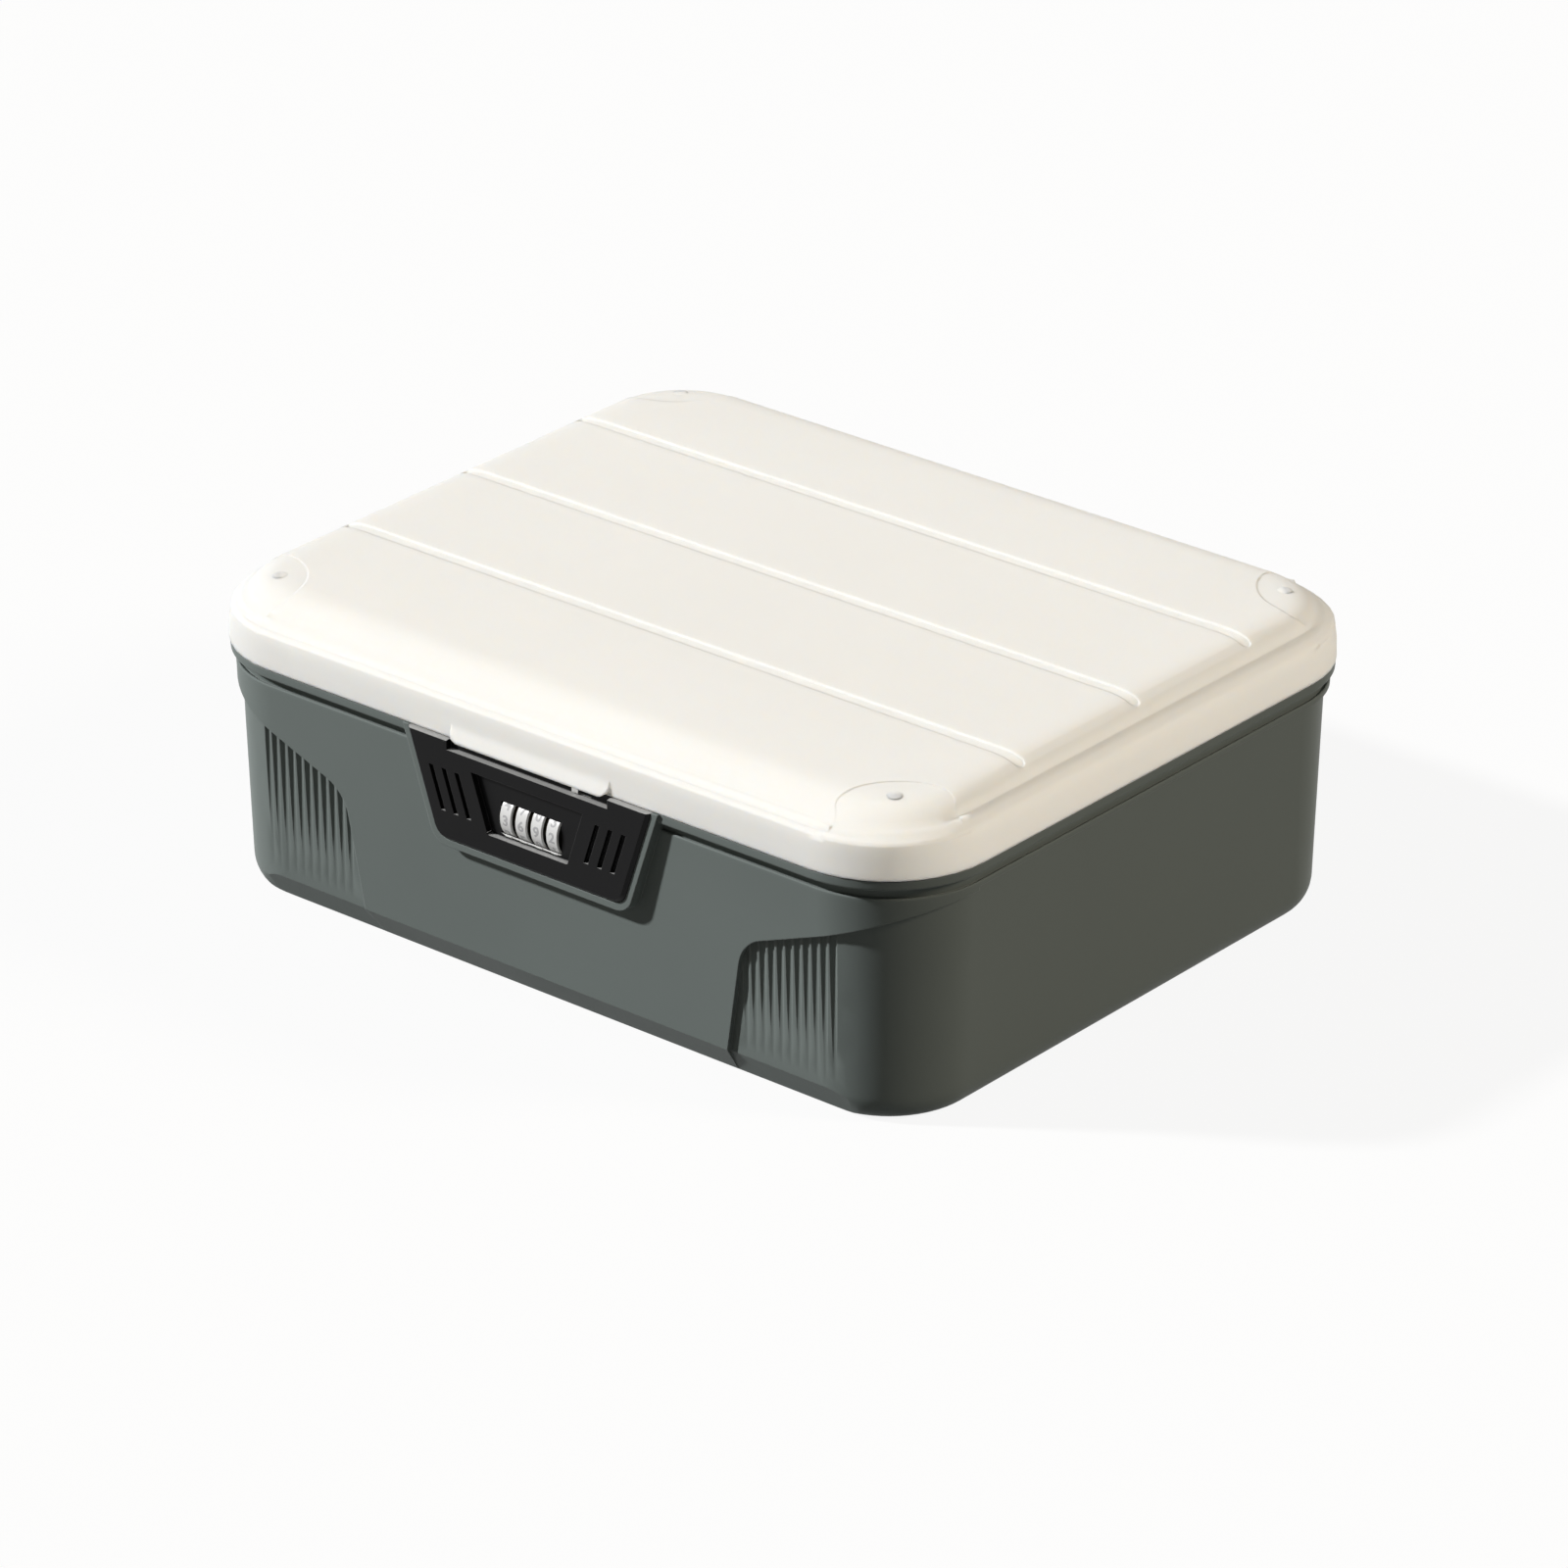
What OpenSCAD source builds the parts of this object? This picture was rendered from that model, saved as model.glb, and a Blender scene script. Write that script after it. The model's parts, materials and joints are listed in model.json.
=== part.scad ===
// Lidded storage box with a four dial lock in its front wall.
// The front faces -Y, the lid opens about an axis along the back edge, the underside lies on z = 0.

/* [Box] */
// Length of the lid from side to side
box_w = 300; // [285:5:340]
// Depth of the lid from front to back
box_d = 243; // [230:1:280]
// Height of the rim that carries the lid
rim_z = 85.2; // [83:0.2:95]
// Radius of the lid's corners seen from above
corner_r = 38; // [35:1:42]
// Gap between the closed lid and the rim
lid_gap = 0.3; // [0.2:0.1:0.5]

/* [Tub] */
// Wall thickness of the tub
wall = 2.4; // [2:0.1:3]
// Floor thickness of the tub
floor_t = 2.8; // [2.2:0.1:4]
// Draft angle of the tub walls
draft = 1.7; // [0.5:0.1:2]
// Height of the rounded outer bottom edge
foot_h = 9; // [6:0.5:10]
// Width of the rounded outer bottom edge
foot_w = 6; // [4:0.5:8]
// Height of the bevel along the front's foot
front_foot_h = 9.2; // [6:0.1:9.6]
// Width of the bevel along the front's foot
front_foot_w = 5.3; // [4:0.1:5.6]
// Height of the bevel on the proud panel
panel_foot_h = 10; // [7:0.1:11]
// Rounding of the inner bottom edge
sump_r = 9; // [7:0.5:10]
// How far the side walls stand out beyond the setback of the front and back walls
side_out = 1; // [0:0.1:1.4]
// Setback of the proud wall surface from the lid edge, at the rim
band_in = 2.4; // [2:0.1:3]
// Depth of the recessed walls below the proud surface
step = 1.8; // [1:0.1:2]
// Distance from the rim down to the lower edge of the proud band
band_drop = 9.5; // [9:0.1:12]
// Thickness of the flange under the lid
flange_t = 3.3; // [2.6:0.1:4]
// Setback of the flange face from the lid edge
flange_in = 0.3; // [0.2:0.1:0.8]
// Edge rounding of the flange
flange_r = 0.9; // [0.4:0.1:1.4]
// Height of the shadow groove below the flange
groove_h = 2.9; // [1.6:0.1:3.2]
// Depth of the shadow groove
groove_depth = 1.8; // [1:0.1:2]
// Edge rounding of the bead below the groove
bead_r = 0.6; // [0.4:0.1:0.8]
// Height of the upstand inside the lid
lip_h = 7; // [5:0.5:8]
// Setback of the upstand from the lid edge
lip_in = 4.9; // [4.2:0.1:5.2]

/* [Front panel] */
// Half length of the proud front panel at the floor
sweep_foot = 74.3; // [70:0.5:78]
// Distance from the rim down to the panel's lower edge where it meets the corner
sweep_drop = 10.7; // [9:0.1:14]
// Lean of the panel's end from upright
sweep_lean = 9.6; // [6:0.2:14]
// Slope of the panel's lower edge towards the corner
sweep_rise = 21.3; // [18:0.1:25]
// Blend radius between the two
sweep_r = 14; // [8:0.5:18]
// Number of flutes beside each end of the panel
flutes = 11; // [6:1:12]
// Distance from the middle of the front to the first flute
flute_x = 82.7; // [80:0.1:88]
// Pitch of the flutes
flute_pitch = 3.5; // [3:0.05:3.6]
// Radius of a flute
flute_r = 1.35; // [0.9:0.05:1.6]
// Depth of a flute at its upper end
flute_depth = 1.1; // [0.5:0.05:1.2]
// Height at which the flutes fade out
flute_z = 12; // [10:0.5:20]

/* [Lock face] */
// Half width of the faceplate at the rim
face_hw = 50.2; // [48:0.2:52]
// Height of the faceplate
face_h = 35.2; // [34.5:0.1:36]
// Inward lean of the faceplate sides, as width over height
face_slope = 0.336; // [0.25:0.01:0.36]
// Radius of the lower corners
face_r = 6; // [4:0.5:8]
// How far the faceplate stands in front of the lid edge
face_out = 1.9; // [1.8:0.1:2.4]
// Width and depth of the faceplate's bevelled edge
face_bevel = 1.2; // [0.8:0.1:1.6]
// How far the faceplate's back lies behind the lid edge
face_back = 1.7; // [1.5:0.1:2]
// Width of the boss rim round the faceplate
boss_rim = 2.6; // [2:0.1:3]
// Spread of the boss sides towards the wall
boss_flare = 0.8; // [0.4:0.1:3]
// Depth of the middle recess
well_depth = 2.2; // [1.6:0.1:2.3]
// Half width of the middle recess at its floor edge
well_hw = 16.6; // [15.5:0.1:18]
// Height of the middle recess
well_h = 19.6; // [17:0.1:20.5]
// Depth of the side slots
slot_depth = 1.4; // [0.8:0.1:1.8]
// Width of a side slot
slot_w = 1.9; // [1.4:0.1:2.4]
// Length of a side slot
slot_h = 14.6; // [12:0.1:16]
// Pitch of the side slots
slot_pitch = 5.4; // [4.6:0.1:5.6]
// Number of slots on each side
slots = 3; // [1:1:3]
// Half width of the finger notch
notch_hw = 33.3; // [33:0.1:34]
// Height of the finger notch
notch_h = 3.3; // [3:0.1:3.6]

/* [Dials] */
// Number of dials
dials = 4; // [3:1:4]
// Distance between dials
dial_pitch = 6.4; // [6.2:0.05:6.5]
// Radius of a dial
dial_r = 8.5; // [8:0.1:8.6]
// Visible width of a dial
dial_w = 5.1; // [4.8:0.1:5.8]
// Height of the dial axis below the rim
dial_drop = 20.9; // [20:0.1:21.5]
// How far a dial stands out of the recess floor
dial_out = 1.6; // [1.2:0.1:1.9]
// Number of code positions
codes = 10; // [6:1:10]
// Outer radius of a gate ring
ring_r = 6.2; // [6:0.1:6.4]
// Thickness of the gate web in a ring
web_t = 1.6; // [1.2:0.1:1.8]
// Radius of the spindle
spindle_r = 1.9; // [1.7:0.05:2]
// Length of a stud along the spindle
stud_l = 1.2; // [0.8:0.1:1.4]
// Width of a stud
stud_w = 1.6; // [1.2:0.1:1.8]
// Radius to the tip of a stud
stud_r = 3.9; // [3.4:0.1:4]
// Running clearance of the spindle
run_gap = 0.05; // [0.02:0.01:0.1]
// Travel of the spindle from open to locked
throw = 3.8; // [3.4:0.1:3.9]

/* [Lock case] */
// Half length of the case
case_hw = 30.5; // [30:0.1:31]
// Depth of the case behind the faceplate
case_depth = 14.6; // [14.4:0.1:16]
// Wall thickness of the case
case_wall = 1.8; // [1.4:0.1:2]
// Thickness of the cheeks that carry the spindle
cheek_t = 3.65; // [3.4:0.05:3.8]
// Thickness of the rear cover
cover_t = 1.8; // [1.4:0.1:2.4]
// Radius of a lock screw's shank
screw_r = 1.45; // [1.3:0.05:1.6]

/* [Lid] */
// Height of the lid
lid_h = 21.3; // [19:0.1:24]
// Wall thickness of the lid
lid_t = 2.4; // [2:0.1:2.6]
// Distance from the middle groove to each outer groove
rill_y = 57.3; // [50:0.1:60]
// Distance of the middle groove behind the middle of the lid
rill_mid = 3.2; // [0:0.1:6]
// Width of a groove in the lid top
rill_w = 4.6; // [3:0.1:5]
// Depth of a groove in the lid top
rill_depth = 0.9; // [0.5:0.1:1.1]
// Distance from the end of a groove to the lid side
rill_end = 9; // [6:0.5:16]
// Depth of the corner pads below the lid top
pad_depth = 0.8; // [0.4:0.1:1.1]
// Radius of a pad's rounded inner corner
pad_r = 24; // [18:0.5:28]
// Distance from a pad's side edges to the middle of the lid's corner rounding
pad_in = 1.6; // [0:0.1:4]
// Radius of the round pip on a pad
pip_r = 2.5; // [1.5:0.1:3]
// Height of the pip
pip_h = 0.9; // [0.5:0.1:1.2]
// Distance from a pip to the lid side and to the lid front
pip_at = 23.2; // [20:0.1:26]
// Half length of the finger lip
grip_hw = 32.7; // [28:0.1:32.8]

/* [Hinges] */
// Distance from the middle to each hinge
hinge_x = 85; // [60:1:95]
// Radius of a hinge knuckle
knuckle_r = 3.2; // [3:0.1:3.3]
// Radius of a hinge pin
pin_r = 1.6; // [1.2:0.1:1.8]
// Length of the lid's knuckle
lid_knuckle = 16; // [12:1:24]
// Length of each of the tub's knuckles
tub_knuckle = 8; // [6:1:12]
// Gap between the knuckles
knuckle_gap = 0.4; // [0.3:0.1:0.8]
// Running clearance of the pin in the lid's knuckle
pin_gap = 0.06; // [0.03:0.01:0.1]

/* [Hidden] */
$fn = 96;
eps = 0.01;

tub_colour = [0.40, 0.44, 0.43];
lid_colour = [0.96, 0.955, 0.94];
black = [0.12, 0.12, 0.125];
steel = [0.72, 0.72, 0.70];
brass = [0.78, 0.66, 0.38];

front = -box_d / 2;
back = box_d / 2;
side = box_w / 2;
lid_z = rim_z + lid_gap;
band_z = rim_z - band_drop;
band_soft = 1;
lip_z = rim_z + lip_h;
tan_draft = tan(draft);

// Rim details: groove below the flange, small edge breaks, and how far a boss reaches into a wall
groove_top = rim_z - flange_t;
groove_low = groove_top - groove_h;
groove_slope = 0.4;
groove_sink = 1.2;
lip_break = 0.6;
embed = 1.2;
skin_back = 1;

// Faceplate
face_y = front - face_out;
face_bottom = rim_z - face_h;
plate_y = front + face_back;
bevel_y = face_y + face_bevel;
face_play = 0.15;
well_z = face_bottom + 7.6;
slot_z = face_bottom + 10.4;
slot_x = 35.1;
notch_depth = 2.4;
index_h = 0.5;
index_w = 2.6;
index_gap = 0.3;
index_t = 0.2;
window_h = 10.6;
window_gap = 0.4;
dial_gap = 0.35;

// Dial and spindle axis
dial_z = rim_z - dial_drop;
well_y = face_y + well_depth;
dial_y = well_y - dial_out + dial_r;
ring_w = dial_pitch - 0.25;
ring_gap = 0.02;
cup_r = stud_r + 0.6;
gate_w = stud_w + 0.6;
gate_r = stud_r + 0.35;
web_gap = 0.4;
key_w = 1.2;
key_h = 0.7;
dial_x = function(k) (k - (dials - 1) / 2) * dial_pitch;
train_hw = (dials - 1) / 2 * dial_pitch + ring_w / 2;
end_play = 0.275;

// Case
case_y = plate_y + 0.1;
case_back = case_y + case_depth;
case_play = 0.3;
case_bottom = dial_z - dial_r - 0.6 - case_wall;
case_top = rim_z - 2.2;
cheek_in = train_hw + end_play;
cheek_out = cheek_in + cheek_t;
ear_w = 10.5;
ear_t = 2;
ear_h = 8;
pad_face = front + 9.6;
post_x = case_hw + ear_w / 2 + 0.25;
post_z = [dial_z - 6, dial_z + 13.5];
post_r = 2.6;
post_play = 0.2;
mount_r = 5;
pilot_gap = 0.02;
hole_play = 0.15;
lock_screw = [2.8, 2, 8.5];
cover_post_r = 2.4;
cover_screw_r = 0.9;
cover_inset = 2.6;
cover_rise = 3;
cover_screw_at = [[-case_hw + cover_inset, case_bottom + cover_rise],
                  [-case_hw + cover_inset, case_top - cover_rise],
                  [case_hw - cover_inset, case_bottom + cover_rise],
                  [cheek_in + cheek_t / 2, case_top - cover_rise]];
cover_screw = [1.9, 1.2, 6.5];
cover_hole = 7;

// Latch plate and strike
latch_x = cheek_out + 0.8;
latch_t = 1.4;
clip_t = 0.6;
nose_r = 1.8;
nose_y = dial_y + 0.5;
nose_z = dial_z + 10.9;
arm_w = 6.6;
tab_h = 1.8;
tab_z = rim_z - 2.8;
tab_w = 2.6;
strike_t = 2;
strike_w = 7.2;
strike_gap = 0.7;
strike_x = case_hw - case_wall - strike_t - 2.3;
strike_y = nose_y - strike_w / 2;
strike_window = [4.4, 4.8];
strike_top = rim_z + 7.4;
strike_flange = 16;
flange_sheet = 1.6;
strike_screw_r = 1.4;
strike_screw = [2.7, 1.8, 6.5];
strike_hole = 6;
strike_screw_x = [strike_x - 10.9, strike_x - 4.9];
strike_lug = [1, 2.5];
nose_taper = [1.2, 0.8];

// Detents
leaf_t = 0.4;
rail_z = dial_z + 11.7;
rail_h = 5;
rail_y = dial_y + 5.3;
peg_r = 0.9;
peg_x = 6.4;
finger_w = 4;

// Code slide in the rear cover
slide_w = 9;
slide_h = 5;
slide_t = 1.6;
slide_travel = 2.5;
slide_z = dial_z - 4.5;
knob_w = 4.6;
knob_h = 3;

// Hinge axis
hinge_y = back + 3.6;
hinge_z = rim_z - 2.6;
knuckle_step = lid_knuckle / 2 + knuckle_gap + tub_knuckle / 2;
pin_len = lid_knuckle + 2 * knuckle_gap + 2 * tub_knuckle + 1;

// Setback of each wall surface from the lid edge at height z
function band_at(z) = band_in + (rim_z - z) * tan_draft;
function recess_at(z) = band_at(z) + step;
function inner_at(z) = recess_at(z) + wall;

// Points on an arc
function arc(cx, cy, r, a0, a1, n = 8) =
    [for (i = [0:n]) let (a = a0 + (a1 - a0) * i / n) [cx + r * cos(a), cy + r * sin(a)]];

function ellipse_arc(cx, cy, a, b, a0, a1, n = 10) =
    [for (i = [0:n]) let (t = a0 + (a1 - a0) * i / n) [cx + a * cos(t), cy + b * sin(t)]];

// Half outline, mirrored: a trapezoid with two rounded lower corners, hw wide at the rim
function trap_half(hw, top, bottom, slope, r) =
    let (lean = atan(slope), cz = bottom + r, cx = hw - slope * (rim_z - cz) - r / cos(lean))
    concat(arc(cx, cz, r, -90, -lean, 8), [[hw - slope * (rim_z - top), top]]);
function both(half) = concat(half, [for (i = [len(half) - 1:-1:0]) [-half[i][0], half[i][1]]]);
function trap(hw, top, bottom, slope, r) = both(trap_half(hw, top, bottom, slope, r));

// Height of the front panel's lower edge at distance x from the middle
sweep_end = side - 4;
sweep_top = rim_z - sweep_drop;
function sweep_z(x) = sweep_top - tan(sweep_rise) * (sweep_end - x);
// The two straight edges of the panel's end meet here before they are blended
meet_z = (sweep_top - tan(sweep_rise) * (sweep_end - sweep_foot)) / (1 - tan(sweep_rise) * tan(sweep_lean));
meet_x = sweep_foot + meet_z * tan(sweep_lean);
blend_turn = 90 - sweep_lean - sweep_rise;
blend_back = sweep_r * tan(blend_turn / 2);
blend_x = meet_x - blend_back * sin(sweep_lean) + sweep_r * cos(sweep_lean);
blend_z = meet_z - blend_back * cos(sweep_lean) - sweep_r * sin(sweep_lean);

// Sweeps a profile of distance from the corner axis and height round the box, its sides moved out
module round_box(out = 0) {
    for (k = [0:3]) {
        across = k % 2 == 0 ? box_w + 2 * out : box_d;
        along = k % 2 == 0 ? box_d : box_w + 2 * out;
        rotate([0, 0, 90 * k]) {
            translate([across / 2 - corner_r, 0, 0])
                rotate([90, 0, 0])
                    linear_extrude(along - 2 * corner_r, center = true)
                        children();
            translate([across / 2 - corner_r, along / 2 - corner_r, 0])
                rotate_extrude(angle = 90)
                    children();
        }
    }
}

// A flat outline in x and z, given thickness from y0 to y1
module upright(y0, y1) {
    translate([0, y1, 0])
        rotate([90, 0, 0])
            linear_extrude(y1 - y0)
                children();
}

// A flat outline in y and z, given length from x0 to x1
module sideways(x0, x1) {
    translate([x0, 0, 0])
        rotate([90, 0, 90])
            linear_extrude(x1 - x0)
                children();
}

// A rod along x, along y or along z
module rod_x(x0, x1, y, z, r) {
    translate([x0, y, z])
        rotate([0, 90, 0])
            cylinder(h = x1 - x0, r = r);
}
module rod_y(y0, y1, x, z, r) {
    translate([x, y1, z])
        rotate([90, 0, 0])
            cylinder(h = y1 - y0, r = r);
}
module block(x0, x1, y0, y1, z0, z1) {
    translate([x0, y0, z0])
        cube([x1 - x0, y1 - y0, z1 - z0]);
}

// Cross-section of the tub's inner shell, flange and upstand from the corner axis outwards
module shell_profile() {
    sump_c = corner_r - inner_at(floor_t + sump_r) - sump_r;
    polygon(concat(
        [[0, 0],
         [corner_r - recess_at(0) - foot_w, 0],
         [corner_r - recess_at(foot_h) - skin_back, foot_h],
         [corner_r - recess_at(band_z) - skin_back, band_z],
         [corner_r - recess_at(groove_top) - skin_back, groove_top],
         [corner_r - flange_in - flange_r, groove_top]],
        arc(corner_r - flange_in - flange_r, groove_top + flange_r, flange_r, -90, 0, 6),
        [[corner_r - flange_in, rim_z],
         [corner_r - lip_in, rim_z],
         [corner_r - lip_in, lip_z - lip_break],
         [corner_r - lip_in - lip_break, lip_z],
         [corner_r - inner_at(rim_z), lip_z]],
        arc(sump_c, floor_t + sump_r, sump_r, 0, -90),
        [[0, floor_t]]));
}

// Cross-section of the tub's outer wall: rounded foot, recessed wall, bead and groove
module wall_profile() {
    bead_c = corner_r - band_at(groove_low) - bead_r;
    polygon(concat(
        [[corner_r - recess_at(foot_h) - foot_w - skin_back, 0]],
        ellipse_arc(corner_r - recess_at(foot_h) - foot_w, foot_h, foot_w, foot_h, -90, 0),
        [[corner_r - recess_at(band_z), band_z],
         [corner_r - band_at(band_z + band_soft), band_z + band_soft]],
        arc(bead_c, groove_low - groove_slope - bead_r, bead_r, 0, 80, 6),
        [[corner_r - band_at(groove_low) - groove_depth, groove_low - groove_sink],
         [corner_r - band_at(groove_top) - groove_depth, groove_top],
         [corner_r - inner_at(groove_top) + eps, groove_top],
         [corner_r - inner_at(foot_h) + eps, foot_h]]));
}

// Cross-section of the proud skin on the front, bevelled down to the common foot
module skin_profile() {
    top = band_z + band_soft + 0.2;
    foot_x = corner_r - recess_at(0) - front_foot_w;
    polygon([[foot_x - skin_back, 0],
             [foot_x, 0],
             [corner_r - band_at(panel_foot_h), panel_foot_h],
             [corner_r - band_at(top), top],
             [corner_r - recess_at(top) - skin_back, top],
             [corner_r - recess_at(foot_h) - skin_back, foot_h]]);
}

// Flat bevel along the front's foot, which runs out into the rounded corners
module foot_cut() {
    high = [front + recess_at(front_foot_h), front_foot_h];
    low = [front + recess_at(0) + front_foot_w, 0];
    beyond = (high - low) * 0.1;
    sideways(-side, side)
        polygon([high + beyond, low - beyond, [front, (low - beyond)[1]], [front, (high + beyond)[1]]]);
}

// Outline of the front panel, with its swept ends
module sweep_outline() {
    far = side + side_out + 1;
    half = concat(
        [[sweep_foot - tan(sweep_lean), -1]],
        arc(blend_x, blend_z, sweep_r, 180 - sweep_lean, 90 + sweep_rise, 10),
        [[far, sweep_z(far)], [far, rim_z]]);
    polygon(both(half));
}

module front_panel() {
    intersection() {
        round_box(side_out) skin_profile();
        upright(front - 1, front + corner_r) sweep_outline();
    }
}

// Round flutes that fade out towards the foot
module flute_cuts() {
    for (s = [-1, 1], k = [0:flutes - 1]) {
        x = flute_x + k * flute_pitch;
        top = sweep_z(x) + 1;
        bend_r = corner_r - recess_at(flute_z);
        past = max(0, x - (side + side_out - corner_r));
        bend = bend_r - sqrt(bend_r * bend_r - past * past);
        y0 = front + recess_at(flute_z) + bend - flute_r;
        y1 = front + recess_at(top) + bend - flute_r + flute_depth;
        length = norm([y1 - y0, top - flute_z]);
        translate([s * x, y0, flute_z])
            rotate([-atan((y1 - y0) / (top - flute_z)), 0, 0])
                cylinder(h = length, r = flute_r, $fn = 32);
    }
}

// Boss that carries the faceplate, spreading towards the wall
module lock_boss() {
    base_y = front + recess_at(face_bottom) + embed;
    hull() {
        upright(bevel_y, bevel_y + eps)
            polygon(trap(face_hw + boss_rim, rim_z, face_bottom - boss_rim, face_slope, face_r + 1));
        upright(base_y - eps, base_y)
            polygon(trap(face_hw + boss_rim + boss_flare, rim_z, face_bottom - boss_rim - boss_flare,
                         face_slope, face_r + boss_flare));
    }
}

module lock_pocket() {
    upright(face_y - 1, plate_y)
        polygon(trap(face_hw + face_play, rim_z + 1, face_bottom - face_play, face_slope, face_r));
}

module lock_opening() {
    block(-case_hw - case_play, case_hw + case_play, front - 1, pad_face + 1,
          case_bottom - case_play, lip_z + 1);
}

// One leaf of a hinge: knuckle and arm, seen along the axis
module tub_leaf() {
    translate([hinge_y, hinge_z]) circle(knuckle_r);
    polygon([[back - flange_in - 0.7, rim_z - 0.2], [hinge_y - 1, hinge_z + knuckle_r * 0.94],
             [hinge_y, hinge_z], [hinge_y - 1, hinge_z - knuckle_r * 0.94],
             [back - flange_in - 0.7, rim_z - flange_t + 0.4]]);
}
module lid_leaf() {
    translate([hinge_y, hinge_z]) circle(knuckle_r);
    polygon([[back - 0.6, lid_z + 8], [back - 0.6, lid_z + 0.2], [back + 0.3, lid_z + 0.1],
             [hinge_y - knuckle_r * 0.98, hinge_z + 0.5], [hinge_y, hinge_z],
             [hinge_y + knuckle_r * 0.98, hinge_z + 0.5], [hinge_y + 2, hinge_z + 6]]);
}

module base_tub() {
    color(tub_colour)
    difference() {
        union() {
            difference() {
                union() {
                    round_box() shell_profile();
                    round_box(side_out) wall_profile();
                    block(-side + corner_r, side - corner_r, front + corner_r, back - corner_r, 0, floor_t);
                }
                flute_cuts();
                foot_cut();
            }
            front_panel();
            lock_boss();
            for (x = [-post_x, post_x], z = post_z)
                rod_y(front + recess_at(z) + embed, pad_face, x, z, mount_r);
            for (s = [-1, 1], t = [-1, 1])
                sideways(s * hinge_x + t * knuckle_step - tub_knuckle / 2,
                         s * hinge_x + t * knuckle_step + tub_knuckle / 2)
                    tub_leaf();
        }
        lock_pocket();
        lock_opening();
        for (x = [-post_x, post_x], z = post_z)
            rod_y(front, pad_face + 1, x, z, post_r + post_play);
        for (s = [-1, 1])
            rod_x(s * hinge_x - pin_len / 2, s * hinge_x + pin_len / 2, hinge_y, hinge_z, pin_r);
    }
}

// Levels of the lid's outer form: height, setback on the long sides, setback on the short sides
lid_levels = [[0, 0, 0], [7, 0.15, 0.2], [10, 0.3, 0.8], [11.6, 0.6, 1.4], [12.4, 1.4, 1.9],
              [12.7, 2.6, 2.2], [13.9, 3.6, 3.3], [14.7, 4.6, 4.6], [15.1, 5.3, 5.9],
              [16.6, 7.3, 6.9], [18.6, 10.2, 8.8], [20.2, 13.4, 11.4], [21.0, 17, 14.4], [21.3, 21, 18]];
lid_top = lid_levels[len(lid_levels) - 1][0];
lid_scale = lid_h / lid_top;
corner_steps = 10;
pip_sink = 0.2;

// One ring of a level, moved in by t
function ring(level, t) =
    let (r = corner_r - (level[1] + level[2]) / 2 - t,
         cx = side - level[2] - t - r, cy = back - level[1] - t - r)
    [for (q = [0:3], i = [0:corner_steps])
        let (a = 90 * q + 90 * i / corner_steps,
             sx = q == 0 || q == 3 ? 1 : -1, sy = q < 2 ? 1 : -1)
        [sx * cx + r * cos(a), sy * cy + r * sin(a), level[0]]];

// Closed solid through the rings of all levels, moved in by t and drawn down by floor_drop
module lid_form(t, floor_drop) {
    shrink = (lid_top - t / lid_scale) / lid_top;
    rings = [for (l = lid_levels)
        let (z = l[0] == 0 ? -floor_drop : l[0] * lid_scale * shrink)
        ring([lid_z + z, l[1], l[2]], t)];
    n = len(rings[0]);
    m = len(rings);
    polyhedron(
        points = [for (r = rings, p = r) p],
        faces = concat(
            [[for (i = [0:n - 1]) i]],
            [for (j = [0:m - 2], i = [0:n - 1])
                let (a = j * n + i, b = j * n + (i + 1) % n)
                each [[a, a + n, b + n], [a, b + n, b]]],
            [[for (i = [n - 1:-1:0]) (m - 1) * n + i]]));
}

// Half of a pad's edge, from its inner corner towards the front: a large round, then an S.
// Distances are from the middle of the lid's corner rounding, both negative outwards.
pad_turn_r = 3.5;
pad_turn = 40;
pad_run = 3;
pad_back_r = 5;
pad_swing = 58;
pad_c = -pad_in - pad_r;
pad_run_at = [-pad_in - pad_turn_r + pad_turn_r * cos(pad_turn), pad_c - pad_turn_r * sin(pad_turn)];
pad_back_at = pad_run_at + pad_run * [-sin(pad_turn), -cos(pad_turn)]
    + pad_back_r * [cos(pad_turn), -sin(pad_turn)];
pad_half = concat(
    arc(pad_c, pad_c, pad_r, 45, 0, 6),
    arc(-pad_in - pad_turn_r, pad_c, pad_turn_r, 0, -pad_turn, 4),
    arc(pad_back_at[0], pad_back_at[1], pad_back_r, 180 - pad_turn, 180 - pad_turn + pad_swing, 5));

// Plan of a corner pad in the front left corner, the same to the front and to the side
module pad_plan() {
    n = len(pad_half);
    far = -corner_r - 2;
    translate([-side + corner_r, front + corner_r])
        polygon(concat([for (i = [n - 1:-1:1]) [pad_half[i][1], pad_half[i][0]]], pad_half,
                       [[pad_half[n - 1][0] + 2, far], [far, far], [far, pad_half[n - 1][0] + 2]]));
}

module rill_plan() {
    end_x = side - rill_end - rill_w / 2;
    for (y = [-rill_y, 0, rill_y])
        hull()
            for (s = [-1, 1])
                translate([s * end_x, y + rill_mid])
                    circle(rill_w / 2);
}

// Cuts a plan into the lid top to an even depth below its surface
module sunk(depth) {
    difference() {
        translate([0, 0, lid_z + lid_h / 2])
            linear_extrude(lid_h)
                children();
        translate([0, 0, -depth])
            lid_form(0, 0);
    }
}

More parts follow.
